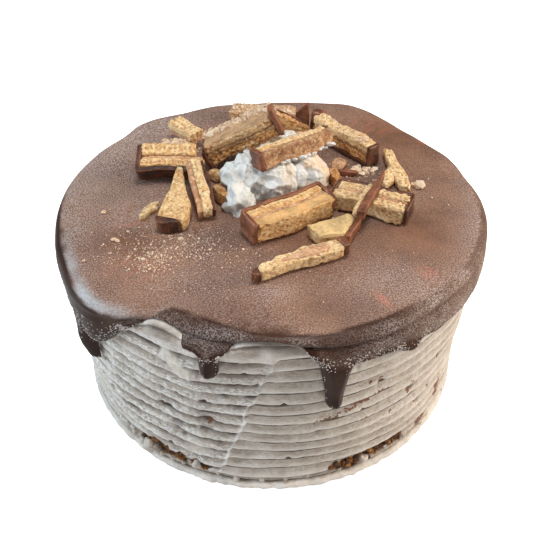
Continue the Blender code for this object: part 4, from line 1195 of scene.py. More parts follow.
def drape_thickness(cap, side, away):
    """Thickness of the drape: uneven, and fuller where the cap swells, down the drips and in their tips."""
    flat = polar(cap.angles + 0 * side, 77, side)
    swell = np.maximum(cap.lip - 78.0, 0) * (1 - cap.onto)
    thick = CAP_THICKNESS + swell + 0.35 * clouds(flat, 12, 2, 33)
    thick = thick + 0.9 * smooth(plain_hem(cap.angles) - side, -3, 3) * smooth(away, 0.5, 3.0)
    for centre, tip, width in DRIPS:
        tip_share = np.exp(-(((side - tip - 2.6) / 2.4) ** 2))
        thick = thick + 0.7 * bell(cap.angles, centre, 0.5 * width) * tip_share
    left_drip = bell(cap.angles, DRIPS[0][0], 4)
    return thick * (1 - left_drip * (1 - np.sqrt(np.clip((side - cap.hem) / 9, 0.02, 1))))


def cap_drape(cap):
    """(radii, heights) of the drape's rows down to the hem, and their distance to the hem's line.

    The drape stands out from the wall by its thickness times the root of 1 - (1 - d)^2, where d is
    the distance to the hem over the edge's radius, so that its edge and its drips are rounded.
    """
    start = np.maximum(TOP - cap.drop - 1.8, cap.hem)
    share = np.linspace(0, 1, DRAPE_ROWS + 1)[1:] ** 0.82
    side = start - (start - cap.hem) * share[:, None]
    away = edge_distance(np.radians(cap.angles) * DRAPE_RADIUS, side, cap.hem)
    thick = drape_thickness(cap, side, away)
    round_edge = np.clip(thick * 0.85, 1.6, 5.0)
    full = np.sqrt(np.clip(1 - (1 - np.minimum(away / round_edge, 1)) ** 2, 0, 1))
    return cap.wall + 0.05 + thick * full * (1 - 0.75 * cap.onto), side, away


def cap_inside(cap):
    """(radii, heights) of each row up the inner wall and in under the roof."""
    wall, hem = cap.wall, cap.hem
    roof = CAP_UNDERSIDE + shoulder_lift(cap.angles)
    rows = [(wall, hem), (wall - 0.02, (hem + roof) / 2), (wall - 0.05, roof)]
    return rows + [(0.8 * wall, (roof + CAP_UNDERSIDE) / 2), (0.3 * wall, CAP_UNDERSIDE + 0 * hem)]


def build_ganache(material):
    """Chocolate cap: a gently uneven top, a lip, a drape down to the hem with drips, and its inside."""
    cap = Cap()
    top, inside = cap_top(cap), cap_inside(cap)
    outward, side, away = cap_drape(cap)
    height = np.concatenate([[z for _, z in top], side])
    above_hem = 0.012 * np.arange(len(height), 0, -1)[:, None]
    height = np.maximum(height, cap.hem + above_hem)
    height = np.concatenate([height, [z for _, z in inside]])
    radius = np.concatenate([[r for r, _ in top], outward, [r for r, _ in inside]])
    points = polar(np.broadcast_to(cap.angles, height.shape), radius, height)
    on_top = smooth(height, 67.0, 71.0) * (np.arange(len(height)) < len(top))[:, None]
    dip = 0.22 * clouds(points, 34, 3, 35) - 0.25 * near(points[..., :2], (-30, -48), (14, 10))
    points[..., 2] += on_top * (dip - 0.15)
    Form().shell(points, **cap_masks(cap, points, away)).finish("ganache_cap", material, "ganache", "ganache")
    return cap, points[cap.drape]


def top_frost(angles, points, radius):
    """Ice on the cap's top: an even share, its thicker and thinner patches, and more near the rim."""
    flat = points[..., :2]
    frost = 0.37 + 0.1 * clouds(points, 24, 3, 37) + patches(flat, FROST_PATCHES)
    for amount, angle, half_width, begin, full in FROST_RIMS:
        frost = frost + amount * bell(angles, angle, half_width) * smooth(radius, begin, full)
    scraped = near(flat, (-48, -29), (13, 8)) * smooth(flat[..., 1], -19.5, -20.5)
    return frost - 0.22 * scraped


def dark_mask(cap, angles, height, away, ragged, hanging):
    """1 on dark glossy chocolate along the hem and on the drips, and painted shade in the front crease and on
    the left of the drape.
    """
    hem = cap.hem + 0 * height
    edge = np.full(height.shape, 9.0)
    edge[cap.drape] = away
    dark = smooth(edge + 0.7 * ragged, 3.4, 1.7)
    low = smooth(60.6 + 1.2 * ragged - height, -0.6, 0.8) * smooth(hem, 58.8, 57.6)
    dark = np.maximum(dark, low) * (1 - 0.6 * smooth(hem, 68.0, 69.8))
    first = cap.drape.start
    # painted shadow in the crease under the front lip
    dark[first - 2:first] = bell(angles[:2], -82, 9)
    table = plain_hem(cap.angles)
    on_drip = smooth(table + 0.6 + 1.1 * ragged - height, -0.8, 1.0) * smooth(hem, table - 1, table - 3)
    # painted shade on the left side of the drape
    at_left = smooth(bell(angles, -160, 34), 0.1, 0.5) * hanging
    drip_right = 0.9 * smooth(bell(angles, -55.5, 6), 0.2, 0.7) * smooth(height + ragged, 64.4, 62.4)
    return np.maximum.reduce([dark, on_drip, at_left, drip_right])


def cap_masks(cap, points, away):
    """Frost, wet_and_shade, rust and shoulder_reflection masks of the cap, from height, angle and the
    distance to its hem.
    """
    angles = np.broadcast_to(cap.angles, points.shape[:2])
    height = points[..., 2]
    radius = np.hypot(points[..., 0], points[..., 1])
    ragged = clouds(points, 7, 3, 36)
    beyond = radius - round_table(ROLL, angles, 1.0) + 0.3 * ragged
    hanging = np.maximum(smooth(height, 69.6, 68.6), smooth(beyond, -0.2, 0.7))
    hanging[cap.drape.start:] = 1
    dark = dark_mask(cap, angles, height, away, ragged, hanging)
    # painted shadow: a dark line where the lit top turns down onto the drape, in front
    turned = np.exp(-(((beyond - 0.8) / 1.1) ** 2)) * hanging * smooth(bell(angles, -86, 30), 0.15, 0.6)
    # painted shade over the whole drape, darker in front
    front = smooth(bell(angles, -94, 40), 0.1, 0.7)
    wet_and_shade = np.maximum.reduce([hanging * (0.5 + 0.35 * front), 0.97 * dark, 0.95 * turned])
    grey = hanging * (0.34 + 0.4 * bell(angles, -38, 24))
    grey = grey * (0.4 + 0.9 * smooth(clouds(points, 9, 2, 40), -0.4, 0.9))
    frost = np.clip(top_frost(angles, points, radius), 0, 1) * (1 - hanging) + grey
    frost = frost * (1 - dark) * (1 - 0.85 * turned)
    rust = patches(points[..., :2], RUST_SCRAPES) * smooth(clouds(points, 2.4, 2, 38), -0.45, 0.3)
    # painted reflection on the roll of the left shoulder
    shoulder_reflection = bell(angles, -138, 14) * smooth(beyond, -4.0, -1.0) * smooth(beyond, 0.6, -0.2)
    shoulder_reflection = shoulder_reflection * smooth(height, 68.4, 69.4) * smooth(clouds(points, 9, 2, 39), -1.2, 0.0)
    shoulder_reflection[cap.drape.start:] = 0
    masks = {"frost": frost, "wet_and_shade": wet_and_shade, "rust": rust, "shoulder_reflection": shoulder_reflection}
    return {name: np.clip(mask, 0, 1) for name, mask in masks.items()}


def build_frost_beads(cap, side, material):
    """Beads of ice where the drape turns into its dark edge, sunk halfway into the cap."""
    chance = np.random.default_rng(71)
    row = chance.integers(1, DRAPE_ROWS - 1, BEAD_DRAWS)
    column = chance.integers(0, len(cap.angles), BEAD_DRAWS)
    spot, angles, hem = side[row, column], cap.angles[column], cap.hem[column]
    height = spot[:, 2]
    table = plain_hem(cap.angles)[column]
    middle = np.where(hem < table - 2.5, table + 1.4, hem + 1.9)
    crowd = np.exp(-(((height - middle) / 2.3) ** 2)) * (0.2 + bell(angles, -100, 46))
    crowd = crowd + 0.22 * (hem < table - 6) * (height < hem + 3.5)
    crowd = crowd + 0.4 * bell(angles, -137, 11) * smooth(height, 69, 62) * smooth(height, 44, 48)
    keep = (chance.uniform(0, 0.9, BEAD_DRAWS) < crowd) & (height > hem + 0.5) & (hem < 69.5)
    spot = spot[keep]
    size = chance.uniform(0.13, 0.27, len(spot))
    shade = chance.uniform(0.6, 1, len(spot))
    Form().scatter(spot, size, 72, flat=1.0, shade=shade).finish("frost_beads", material, "ganache")


# ---------------------------------------------------------------- wafer bars
class Bar:
    """A broken bar's own frame: x runs along it, and its layers are stacked along y or z."""

    def __init__(self, name):
        """Read the bar's place, turn, bend and seed from the table."""
        self.name = name
        centre, turn, self.bend, number = BARS[name]
        self.phase = 1.7 * number
        self.seed = number * 10
        self.centre = np.array(centre) + (0, 0, TOP)
        yaw, pitch, roll = np.radians(turn)
        c, s = np.cos, np.sin
        about_z = np.array([[c(yaw), -s(yaw), 0], [s(yaw), c(yaw), 0], [0, 0, 1]])
        about_y = np.array([[c(pitch), 0, s(pitch)], [0, 1, 0], [-s(pitch), 0, c(pitch)]])
        about_x = np.array([[1, 0, 0], [0, c(roll), -s(roll)], [0, s(roll), c(roll)]])
        self.turn = about_z @ about_y @ about_x

    def placed(self, rows):
        """Rows bent and swollen as the bar is, by slow sines along it, then turned and moved to its place."""
        x, y, z = rows[..., 0], rows[..., 1], rows[..., 2]
        side = self.bend * np.sin(0.21 * x + self.phase)
        lift = 0.4 * self.bend * np.sin(0.27 * x + 2 * self.phase)
        swell = 1 + 0.04 * np.sin(0.33 * x + 3 * self.phase)
        bent = np.stack([x, y * swell + side, z * swell + lift], -1)
        return bent @ self.turn.T + self.centre

    def node(self, part):
        """Name of the node of one of the bar's parts, or of the bar itself where part is empty."""
        return f"{self.name}_{part}" if part else self.name


def box_ring(across_y, across_z):
    """Points round a square of half width 1, some to each side."""
    u = np.linspace(-1, 1, across_y, endpoint=False)
    v = np.linspace(-1, 1, across_z, endpoint=False)
    ring_y = np.concatenate([u, np.ones(across_z), -u, -np.ones(across_z)])
    ring_z = np.concatenate([-np.ones(across_y), v, np.ones(across_y), -v])
    return ring_y, ring_z


def loaf(low, high, corner, sides=None):
    """Grid over a box with rounded corners: a ring of points carried along x, shrinking to each end's middle.

    sides, if given, turns x into the box's (y low, y high, z low, z high) there. A point nearer to an
    edge than the corner's radius is pulled in to that radius from the inner box.
    """
    low, high = np.array(low, float), np.array(high, float)
    half, middle_x = (high - low) / 2, (low[0] + high[0]) / 2
    ring_y, ring_z = box_ring(*[max(3, round(2 * half[axis] / BAR_STEP)) for axis in (1, 2)])
    along = np.linspace(low[0], high[0], max(4, round(2 * half[0] / BAR_STEP)) + 1)
    rings = max(2, round(min(half[1:]) / BAR_STEP))
    grow = (np.arange(rings) + 0.4) / rings
    x = np.concatenate([np.full(rings, low[0]), along, np.full(rings, high[0])])
    scale = np.concatenate([grow, np.ones(len(along)), grow[::-1]])[:, None]
    if sides is None:
        edges = np.array([low[1], high[1], low[2], high[2]])[:, None] + 0 * x
    else:
        edges = np.array(np.broadcast_arrays(*sides(x)), float)
    middle_y, half_y = (edges[0] + edges[1]) / 2, np.maximum((edges[1] - edges[0]) / 2, 0.05)
    middle_z, half_z = (edges[2] + edges[3]) / 2, np.maximum((edges[3] - edges[2]) / 2, 0.05)
    local = np.stack([
        (x - middle_x)[:, None] + 0 * ring_y,
        scale * ring_y * half_y[:, None], scale * ring_z * half_z[:, None]], -1)
    limit = np.stack([half[0] + 0 * x, half_y, half_z], -1)[:, None]
    soft = np.minimum(corner, limit * 0.98)
    inner = np.clip(local, -(limit - soft), limit - soft)
    away = local - inner
    length = np.linalg.norm(away, axis=-1, keepdims=True)
    rounded = inner + away / np.maximum(length, 1e-9) * np.minimum(length, soft.min(-1, keepdims=True))
    return rounded + np.stack([middle_x + 0 * x, middle_y, middle_z], -1)[:, None]


def outline_sides(lower, upper, z_low, z_high):
    """Function of x for the (y low, y high, z low, z high) of a flat shape between two broken lines."""
    lower = np.array(lower, float)
    upper = np.array(upper, float)
    return lambda x: (np.interp(x, *lower.T), np.interp(x, *upper.T), z_low + 0 * x, z_high + 0 * x)


def swapped(rows):
    """Rows of a shape that was made with y and z exchanged."""
    return rows[..., [0, 2, 1]]


def crumble(rows, seed, ragged=0.5, pores=0.42, size=1.05, cells=(), skin=None, worn=0.6):
    """Baked crumb: broken ends moved along x by noise, and round pores sunk into the faces.

    cells holds (axis, place, pitch) of rows of larger cells along x, skin is (axis, sign) of the face
    with a closed skin, and worn is how far its edges are rubbed. Gives the rows, and pore and skin masks.
    """
    ends = rows[..., 0]
    near_end = smooth(np.abs(ends - ends.mean()), ends.max() - ends.mean() - 1.6, ends.max() - ends.mean())
    rough = rows.copy()
    rough[..., 0] += ragged * near_end * clouds(rows, 1.7, 2, seed)
    facing = normals(rough)
    distance = cell_distance(rows * (0.55, 1, 1.2), size, seed + 1)
    pore = smooth(distance, 0.46, 0.2) * smooth(noise(rows, 2.6, seed + 2), -0.6, 0.2)
    closed = 0
    if skin is not None:
        closed = smooth(facing[..., skin[0]] * skin[1], 0.45, 0.8)
        pore = pore * (1 - 0.75 * closed)
    for axis, place, pitch in cells:
        beat = np.cos(2 * math.pi * rows[..., 0] / pitch + 1.2 * noise(rows, 3, seed + 4))
        line = np.exp(-(((rows[..., axis] - place) / 0.42) ** 2))
        away = 1 - np.abs(facing[..., axis])
        pore = np.maximum(pore, line * smooth(beat, -0.1, 0.6) * away)
    edge = smooth(1 - np.abs(facing).max(-1), 0.05, 0.3)
    sunk = -pores * pore + 0.12 * clouds(rows, 0.9, 2, seed + 3) + 0.16 * noise(rows, 3.4, seed + 5)
    sunk = sunk + worn * edge * (1.2 * noise(rows, 1.5, seed + 6) - 0.5)
    rough = rough + facing * sunk[..., None]
    return rough, np.clip(pore, 0, 1), closed + 0 * pore


def melted(rows, seed, wobble=0.16):
    """Chocolate: faces that swell and sink a little by slow noise, and a mask of its edges."""
    facing = normals(rows)
    sunk = 1.5 * wobble * clouds(rows, 3.2, 2, seed) + 0.1 * clouds(rows, 1.1, 2, seed + 1)
    edge = smooth(1 - np.abs(facing).max(-1), 0.06, 0.25)
    return rows + facing * sunk[..., None], edge


def smooth_line(path):
    """Broken line made smooth: evenly spaced points averaged with those round them, and their distances."""
    path = np.array(path, float)
    reach = np.concatenate([[0], np.cumsum(np.hypot(*np.diff(path, axis=0).T))])
    fine = np.linspace(0, reach[-1], 400)
    line = np.stack([np.interp(fine, reach, path[:, axis]) for axis in (0, 1)], -1)
    kernel = np.hanning(23) / np.hanning(23).sum()
    before = line[:1] - np.arange(11, 0, -1)[:, None] * (line[1] - line[0])
    after = line[-1:] + np.arange(1, 12)[:, None] * (line[-1] - line[-2])
    padded = np.concatenate([before, line, after])
    line = np.stack([np.convolve(padded[:, axis], kernel, "valid") for axis in (0, 1)], -1)
    return line, fine


def along_path(rows, path):
    """Rows carried along a path in the x-y plane: x is the distance along it and y the place across it."""
    line, fine = smooth_line(path)
    ahead = np.gradient(line, axis=0)
    ahead = ahead / np.linalg.norm(ahead, axis=-1, keepdims=True)
    place = [np.interp(rows[..., 0], fine, line[:, axis]) for axis in (0, 1)]
    forward = [np.interp(rows[..., 0], fine, ahead[:, axis]) for axis in (0, 1)]
    x = place[0] - forward[1] * rows[..., 1]
    y = place[1] + forward[0] * rows[..., 1]
    return np.stack([x, y, rows[..., 2]], -1)


def path_length(path):
    """Length of a broken line."""
    return np.hypot(*np.diff(np.array(path, float), axis=0).T).sum()


def add_wafer(bar, part, low, high, material, sides=None, swap=False, corner=0.35, **crumb):
    """Piece for a wafer node: a rounded box or flat shape with a baked crumb."""
    rows = loaf(low, high, corner, sides)
    if swap:
        rows = swapped(rows)
    rows, pore, skin = crumble(rows, bar.seed + len(part), **crumb)
    node = bar.node(part)
    Form().shell(bar.placed(rows), pore=pore, skin=skin).finish(f"{node}_crumb", material, "wafer", node)


def add_filling(bar, low, high, material, sides=None):
    """Piece for a filling node: a soft layer with small pores."""
    rows, pore, _ = crumble(loaf(low, high, 0.25, sides), bar.seed + 7, ragged=0.4, pores=0.22, size=0.8)
    node = bar.node("filling")
    Form().shell(bar.placed(rows), pore=pore).finish(f"{node}_layer", material, "filling", node)


def add_coat(bar, low, high, material, part="coat", sides=None, swap=False, corner=0.5, wobble=0.16):
    """Piece for a coat node: a chocolate plate or lump."""
    rows = loaf(low, high, corner, sides)
    if swap:
        rows = swapped(rows)
    finish_coat(bar, *melted(rows, bar.seed + 8, wobble), material, part)


def add_wall(bar, path, inner, outer, low, high, material, part="coat", corner=0.5, upright=False):
    """Piece for a coat node that is a wall along a path: from an inner to an outer place across it.

    The path lies in the x-y plane, or in the x-z plane if the wall is upright.
    """
    rows = loaf((0, inner, low), (path_length(path), outer, high), corner)
    rows, edge = melted(rows, bar.seed + 8)
    rows = along_path(rows, path)
    if upright:
        rows = swapped(rows)
    finish_coat(bar, rows, edge, material, part)


def finish_coat(bar, rows, edge, material, part):
    """Make a coat's piece."""
    node = bar.node(part)
    Form().shell(bar.placed(rows), edge=edge).finish(f"{node}_chocolate", material, "chocolate", node)


def u_path(length, low, high, wall, left, right):
    """Middle line of a coat's wall: up its left end, along its back at high, and down its right end."""
    half = length / 2 - wall / 2
    back = high - wall / 2
    path = [(-half if left else -length / 2, back), (half if right else length / 2, back)]
    if left:
        path.insert(0, (-half, low))
    if right:
        path.append((half, low))
    return path


def build_left_group(m):
    """The layered bar at the left, the wedge and stick that lean on it, and the chip behind."""
    bar = Bar("left_bar")
    length, wide, thick, wall = 25.3, 11.8, 6.3, 1.9
    path = [(x, -y) for x, y in u_path(length, -wide / 2, wide / 2, wall, True, False)]
    add_wall(bar, path, -0.95, 0.95, -thick / 2, thick / 2, m["dark"])
    start = -length / 2 + wall
    add_wafer(bar, "front_wafer", (start, -wide / 2 + wall, -3.1), (length / 2, -0.5, 3.0), m["golden"],
              cells=((1, -2.3, 1.7),))
    add_filling(bar, (start, -0.7, -3.0), (length / 2 - 0.6, 0.9, 2.5), m["pink"])
    add_wafer(bar, "back_wafer", (start, 0.7, -3.1), (length / 2 - 3.4, wide / 2, 3.3), m["golden"],
              cells=((1, 3.4, 1.8),))
    bar = Bar("back_left_chip")
    rows = [(1, y, 2.0) for y in (-2.2, 0.0, 2.2)]
    add_wafer(bar, "wafer", (-7.9, -3.4, -0.6), (7.9, 3.4, 2.35), m["straw"], cells=rows,
              pores=0.6, size=1.9, ragged=0.25, worn=0.2)
    add_filling(bar, (-7.2, -3.2, -2.35), (8.0, 3.3, -0.5), m["caramel"])
    bar = Bar("left_wedge")
    lower = ((-13.2, -3.6), (-11.6, -4.4), (-4, -4.2), (0, -2.6), (10, -0.5), (16.6, 0.9))
    upper = ((-13.2, -2.4), (-12.5, 1.2), (-11.6, 4.2), (-10.6, 6.0), (0, 4.6), (15.8, 2.9), (16.6, 2.2))
    add_wafer(bar, "wafer", (-13.2, -5, -2.5), (16.6, 6, 2.5), m["wheat"],
              sides=outline_sides(lower, upper, -2.5, 2.5), corner=0.5, pores=0.34)
    lower = ((-14.8, 1.4), (-14.0, -1.6), (-13.2, -2.6), (-12.6, 1.0), (-11.7, 4.0), (-10.9, 5.6))
    upper = ((-14.8, 4.6), (-13.4, 6.4), (-10.9, 6.9))
    add_coat(bar, (-14.8, -5, -2.7), (-10.9, 6.9, 2.6), m["dark"],
             sides=outline_sides(lower, upper, -2.7, 2.5), corner=0.6)
    bar = Bar("left_stick")
    add_filling(bar, (-12.5, -3.5, -2.0), (12.6, -1.5, 1.5), m["caramel"])
    add_wafer(bar, "wafer", (-12.7, -1.6, -2.1), (12.8, 1.9, 2.1), m["straw"], ragged=0.9, pores=0.5)
    add_coat(bar, (-12.2, 1.6, -2.1), (12.4, 3.1, 1.9), m["dark"])


def build_back_group(m):
    """The large raised chunk and the pieces behind it."""
    bar = Bar("top_chunk")
    add_wafer(bar, "top_wafer", (-14.4, -6.4, 0.7), (14.2, 6.0, 4.35), m["hazel"], skin=(2, 1), corner=1.1)
    add_filling(bar, (-14.4, -6.2, -0.9), (14.2, 6.0, 0.9), m["toffee"])
    add_wafer(bar, "low_wafer", (-14.4, -6.4, -4.35), (14.2, 5.6, -0.7), m["toasted"],
              cells=((2, -1.4, 2.4), (2, -3.2, 2.9)), size=2.1, pores=0.85)
    add_coat(bar, (-16.2, -6.4, -4.35), (-14.3, 5.6, 2.6), m["dark"], "left_coat", wobble=0.3)
    add_coat(bar, (14.3, -6.6, -4.6), (16.2, -1.6, 7.4), m["red_brown"], "end_coat")
    bar = Bar("back_strip")
    add_wafer(bar, "wafer", (-14.2, -4.8, -0.7), (14.2, 4.8, 2.5), m["hazel"], skin=(2, 1), corner=0.7)
    add_filling(bar, (-13.8, -4.7, -2.4), (14.0, 4.7, -0.6), m["caramel"])
    bar = Bar("back_chip")
    lower = ((-3.2, -6.6), (2.6, -6.6))
    upper = ((-3.2, 0.8), (1.6, 6.4), (2.6, 6.2))
    add_coat(bar, (-3.2, -6.6, -0.9), (2.6, 6.6, 0.9), m["red_brown"],
             sides=outline_sides(lower, upper, -0.9, 0.9), swap=True, corner=0.4)
    bar = Bar("back_lump")
    add_coat(bar, (-2.6, -2.4, -4.4), (2.6, 2.4, 4.4), m["red_brown"], corner=0.9, wobble=0.4)
    bar = Bar("back_slab")
    lower, upper = ((-7.4, -4.1), (6.8, -4.1)), ((-7.4, 7.1), (6.8, 0.4))
    add_wafer(bar, "wafer", (-7.4, -4.1, -2.6), (6.8, 7.2, 1.1), m["toasted"],
              sides=outline_sides(lower, upper, -2.6, 1.1), swap=True, size=1.4, pores=0.6)
    lower, upper = ((-7.4, -3.9), (6.6, -3.9)), ((-7.4, 7.6), (6.6, 0.9))
    add_coat(bar, (-7.4, -3.9, 1.0), (6.6, 7.7, 2.4), m["dark"],
             sides=outline_sides(lower, upper, 1.0, 2.4), swap=True)


def build_right_group(m):
    """The two layered bars at the right and the stick that lies across one of them."""
    bar = Bar("right_back_bar")
    add_wafer(bar, "low_wafer", (-16.5, -3.0, -2.8), (14.8, 3.0, 0.3), m["toasted"], cells=((2, -1.2, 1.5),))
    add_filling(bar, (-16.0, -2.4, 0.2), (14.8, 3.0, 1.8), m["caramel"])
    add_wafer(bar, "top_wafer", (-16.3, -3.0, 1.6), (14.8, 2.9, 4.4), m["straw"], ragged=0.8)
    path = [(x, -z) for x, z in u_path(33, -4.6, 4.6, 1.6, False, True)]
    add_wall(bar, path, -0.8, 0.8, -3.0, 3.0, m["dark"], upright=True)
    bar = Bar("right_bar")
    length, wide, thick, wall = 28.4, 11.6, 6.2, 1.4
    path = u_path(length, -wide / 2 + 0.4, wide / 2, wall, True, True)
    add_wall(bar, path, -0.7, 0.7, -thick / 2, thick / 2, m["dark"])
    end = length / 2 - wall
    add_wafer(bar, "back_wafer", (-end, 0.3, -3.0), (end, wide / 2 - wall, 3.0), m["straw"],
              cells=((1, 2.3, 1.6),))
    add_filling(bar, (-end, -1.4, -2.8), (end, 0.4, 2.7), m["caramel"])
    add_wafer(bar, "front_wafer", (-end, -wide / 2, -3.0), (end, -1.3, 2.8), m["straw"],
              cells=((1, -2.6, 2.2),), ragged=0.7)
    bar = Bar("right_stick")
    lower = ((-13.4, -1.5), (4, -1.2), (13.4, -0.4))
    upper = ((-13.4, 1.5), (4, 1.2), (13.4, 0.3))
    add_coat(bar, (-13.4, -1.5, -1.8), (13.4, 1.5, 1.7), m["red_brown"],
             sides=outline_sides(lower, upper, -1.8, 1.7), wobble=0.22)
    add_wafer(bar, "wafer", (-13.0, 1.2, -1.7), (4.0, 2.9, 1.1), m["straw"])


def build_front_bars(m):
    """The bar on the cream and the layered bar before it."""
    bar = Bar("cream_bar")
    add_filling(bar, (-14.3, -3.3, -3.3), (15.9, -0.2, 2.9), m["rosy"])
    add_wafer(bar, "wafer", (-14.3, -0.3, -3.1), (15.2, 3.3, 3.2), m["straw"])
    add_coat(bar, (-16.3, -3.4, -3.3), (-14.2, 3.3, 3.2), m["red_brown"], "left_coat")
    add_coat(bar, (15.1, 0.2, -2.8), (16.6, 3.3, 3.1), m["dark"], "right_coat")
    bar = Bar("front_bar")
    length, wide, thick, wall = 32.6, 10.6, 8.4, 1.6
    path = u_path(length, -wide / 2 + 0.5, wide / 2, wall, True, True)
    add_wall(bar, path, -0.8, 0.8, -thick / 2, thick / 2, m["red_brown"], corner=0.7)
    end = length / 2 - wall
    add_wafer(bar, "back_wafer", (-end, 0.5, -4.1), (end, wide / 2 - wall, 4.0), m["golden"],
              cells=((1, 2.1, 1.5),))
    add_filling(bar, (-end, -1.3, -4.0), (end, 0.7, 3.6), m["caramel"])
    add_wafer(bar, "front_wafer", (-end, -wide / 2, -4.1), (end, -1.1, 4.1), m["golden"],
              skin=(2, 1), ragged=0.8)


def build_front_pieces(m):
    """The lens-shaped wafer with its coat, and the long stick in front."""
    bar = Bar("front_lens")
    rows = [(1, y, 2.1) for y in (-3.6, -1.2, 1.2, 3.6)]
    lower = ((-8.9, -1.2), (-5.2, -6.2), (3.0, -5.6), (7.6, 4.0))
    upper = ((-8.9, 0.0), (-4.8, 2.2), (1.6, 4.6), (5.0, 6.6), (7.6, 4.8))
    add_wafer(bar, "wafer", (-8.9, -6.6, -2.4), (7.6, 6.6, 2.1), m["wheat"],
              sides=outline_sides(lower, upper, -2.4, 2.1), corner=0.7, skin=(2, 1), cells=rows, pores=0.3)
    edge = [(4.0, -6.0), (6.2, -1.6), (8.7, 3.2), (9.1, 4.6)]
    add_wall(bar, edge, -0.7, 0.9, -2.4, 1.8, m["red_brown"], corner=0.6)
    bar = Bar("front_stick")
    lower = ((-15.2, -1.7), (-10, -2.5), (14.2, -2.8))
    upper = ((-15.2, 0.4), (-13, 1.9), (-9.5, 1.5), (-7.5, 2.7), (-2, 2.1), (2, 3.2), (14.2, 2.9))
    add_wafer(bar, "wafer", (-15.2, -2.8, -2.5), (14.2, 3.2, 1.5), m["straw"],
              sides=outline_sides(lower, upper, -2.5, 1.5), pores=0.35, corner=0.5)
    lower = ((-6.8, -1.2), (-2, -2.2), (8.5, -2.0), (10.5, -0.4))
    upper = ((-6.8, -0.4), (-3, 0.8), (0.5, 1.0), (3, 2.4), (7.6, 2.2), (10.5, 0.6))
    add_filling(bar, (-6.8, -2.4, 1.0), (10.5, 2.4, 2.0), m["pink"],
                sides=outline_sides(lower, upper, 1.0, 2.0))
    lower = ((-17.4, -1.2), (-15.6, -2.4), (-14.8, -2.5))
    upper = ((-17.4, 0.0), (-15.6, 1.1), (-14.8, 1.5))
    add_coat(bar, (-17.4, -2.5, -2.5), (-14.8, 1.5, 1.3), m["dark"], "left_coat",
             sides=outline_sides(lower, upper, -2.5, 1.3), corner=0.6)
    add_coat(bar, (14.1, -2.8, -2.5), (16.6, 3.0, 2.3), m["red_brown"], "right_coat", corner=0.8)


def build_forked_wafer(material):
    """The forked wafer: a stem and a lobe that meet at one end, laid across the bar's frame."""
    bar = Bar("forked_wafer")
    stem_low = ((-14.4, 0.3), (-9, -1.2), (-4, -2.6), (0.6, -1.9), (7, -2.6), (15.6, -2.6))
    stem_high = ((-14.4, 3.0), (-13.6, 3.6), (-4, 3.6), (5, 1.6), (14.6, 0.9), (15.6, -1.4))
    lobe_low = ((-12.6, -5.8), (-6.6, -6.6), (-1.4, -3.6), (0.6, -2.4))
    lobe_high = ((-12.6, -4.4), (-9.4, -1.8), (-1.0, -1.0), (0.6, -1.2))
    form = Form()
    for seed, low, high in ((4, stem_low, stem_high), (5, lobe_low, lobe_high)):
        sides = outline_sides(low, high, -1.5, 1.5)
        rows = loaf((low[0][0], -6, -1.5), (low[-1][0], 4, 1.5), 0.5, sides)
        rows, pore, skin = crumble(rows, bar.seed + seed, ragged=0.8)
        form.shell(bar.placed(rows[..., [1, 0, 2]]), pore=pore, skin=skin)
    form.finish("forked_wafer_crumb", material, "wafer", "forked_wafer_wafer")


def build_bits(m):
    """The thin flake at the left, and the small rough pieces: balls squared off and stretched by noise."""
    lower = ((-5.4, -0.5), (-3.6, -1.6), (-1.0, -1.2), (2.4, -2.2), (5.4, -0.6))
    upper = ((-5.4, 0.3), (-2.6, 0.9), (0.6, 2.1), (3.8, 1.9), (5.4, 0.4))
    add_wafer(Bar("left_flake"), "", (-5.4, -2.2, -1.1), (5.4, 2.2, 0.9), m["straw"],
              sides=outline_sides(lower, upper, -1.1, 0.9), ragged=0.9, pores=0.3)
    for name, half, finish, slot in BITS:
        bar = Bar(name)
        rows = lump_rows((0, 0, 0), (1, 1, 1), bar.seed, 0.22, 44, 30)
        rows = np.sign(rows) * np.abs(rows) ** 0.66
        rows[..., 2] = np.maximum(rows[..., 2], -0.8)
        rows = rows * half
        pore = smooth(cell_distance(rows, 1.1, bar.seed), 0.45, 0.2) * (slot != "chocolate")
        rows = pushed(rows, 0.15 * clouds(rows, 1.0, 2, bar.seed) - 0.25 * pore)
        Form().shell(bar.placed(rows), pore=pore).finish(f"{name}_bit", m[finish], slot, name)


# ---------------------------------------------------------------- cream
def cream_blob(material):
    """Mesh of the cream's overlapping lumps, joined into one skin by a remesh."""
    form = Form()
    for number, ((x, y, z), radii) in enumerate(CREAM_LUMPS):
        form.shell(lump_rows((x, y, TOP + z), radii, number, 0.07, 40, 28))
    lumps = form.finish("cream_lumps", material, "cream")
    skin = lumps.modifiers.new("skin", "REMESH")
    skin.mode = "VOXEL"
    skin.voxel_size = CREAM_VOXEL * MM
    bpy.context.view_layer.update()
    mesh = bpy.data.meshes.new_from_object(lumps.evaluated_get(bpy.context.evaluated_depsgraph_get()))
    bpy.data.objects.remove(lumps, do_unlink=True)
    return mesh


def vertex_rows(mesh, name):
    """The mesh's places or normals, one row to a vertex."""
    values = np.zeros(len(mesh.vertices) * 3, np.float32)
    mesh.vertices.foreach_get(name, values)
    return values.reshape(-1, 3)


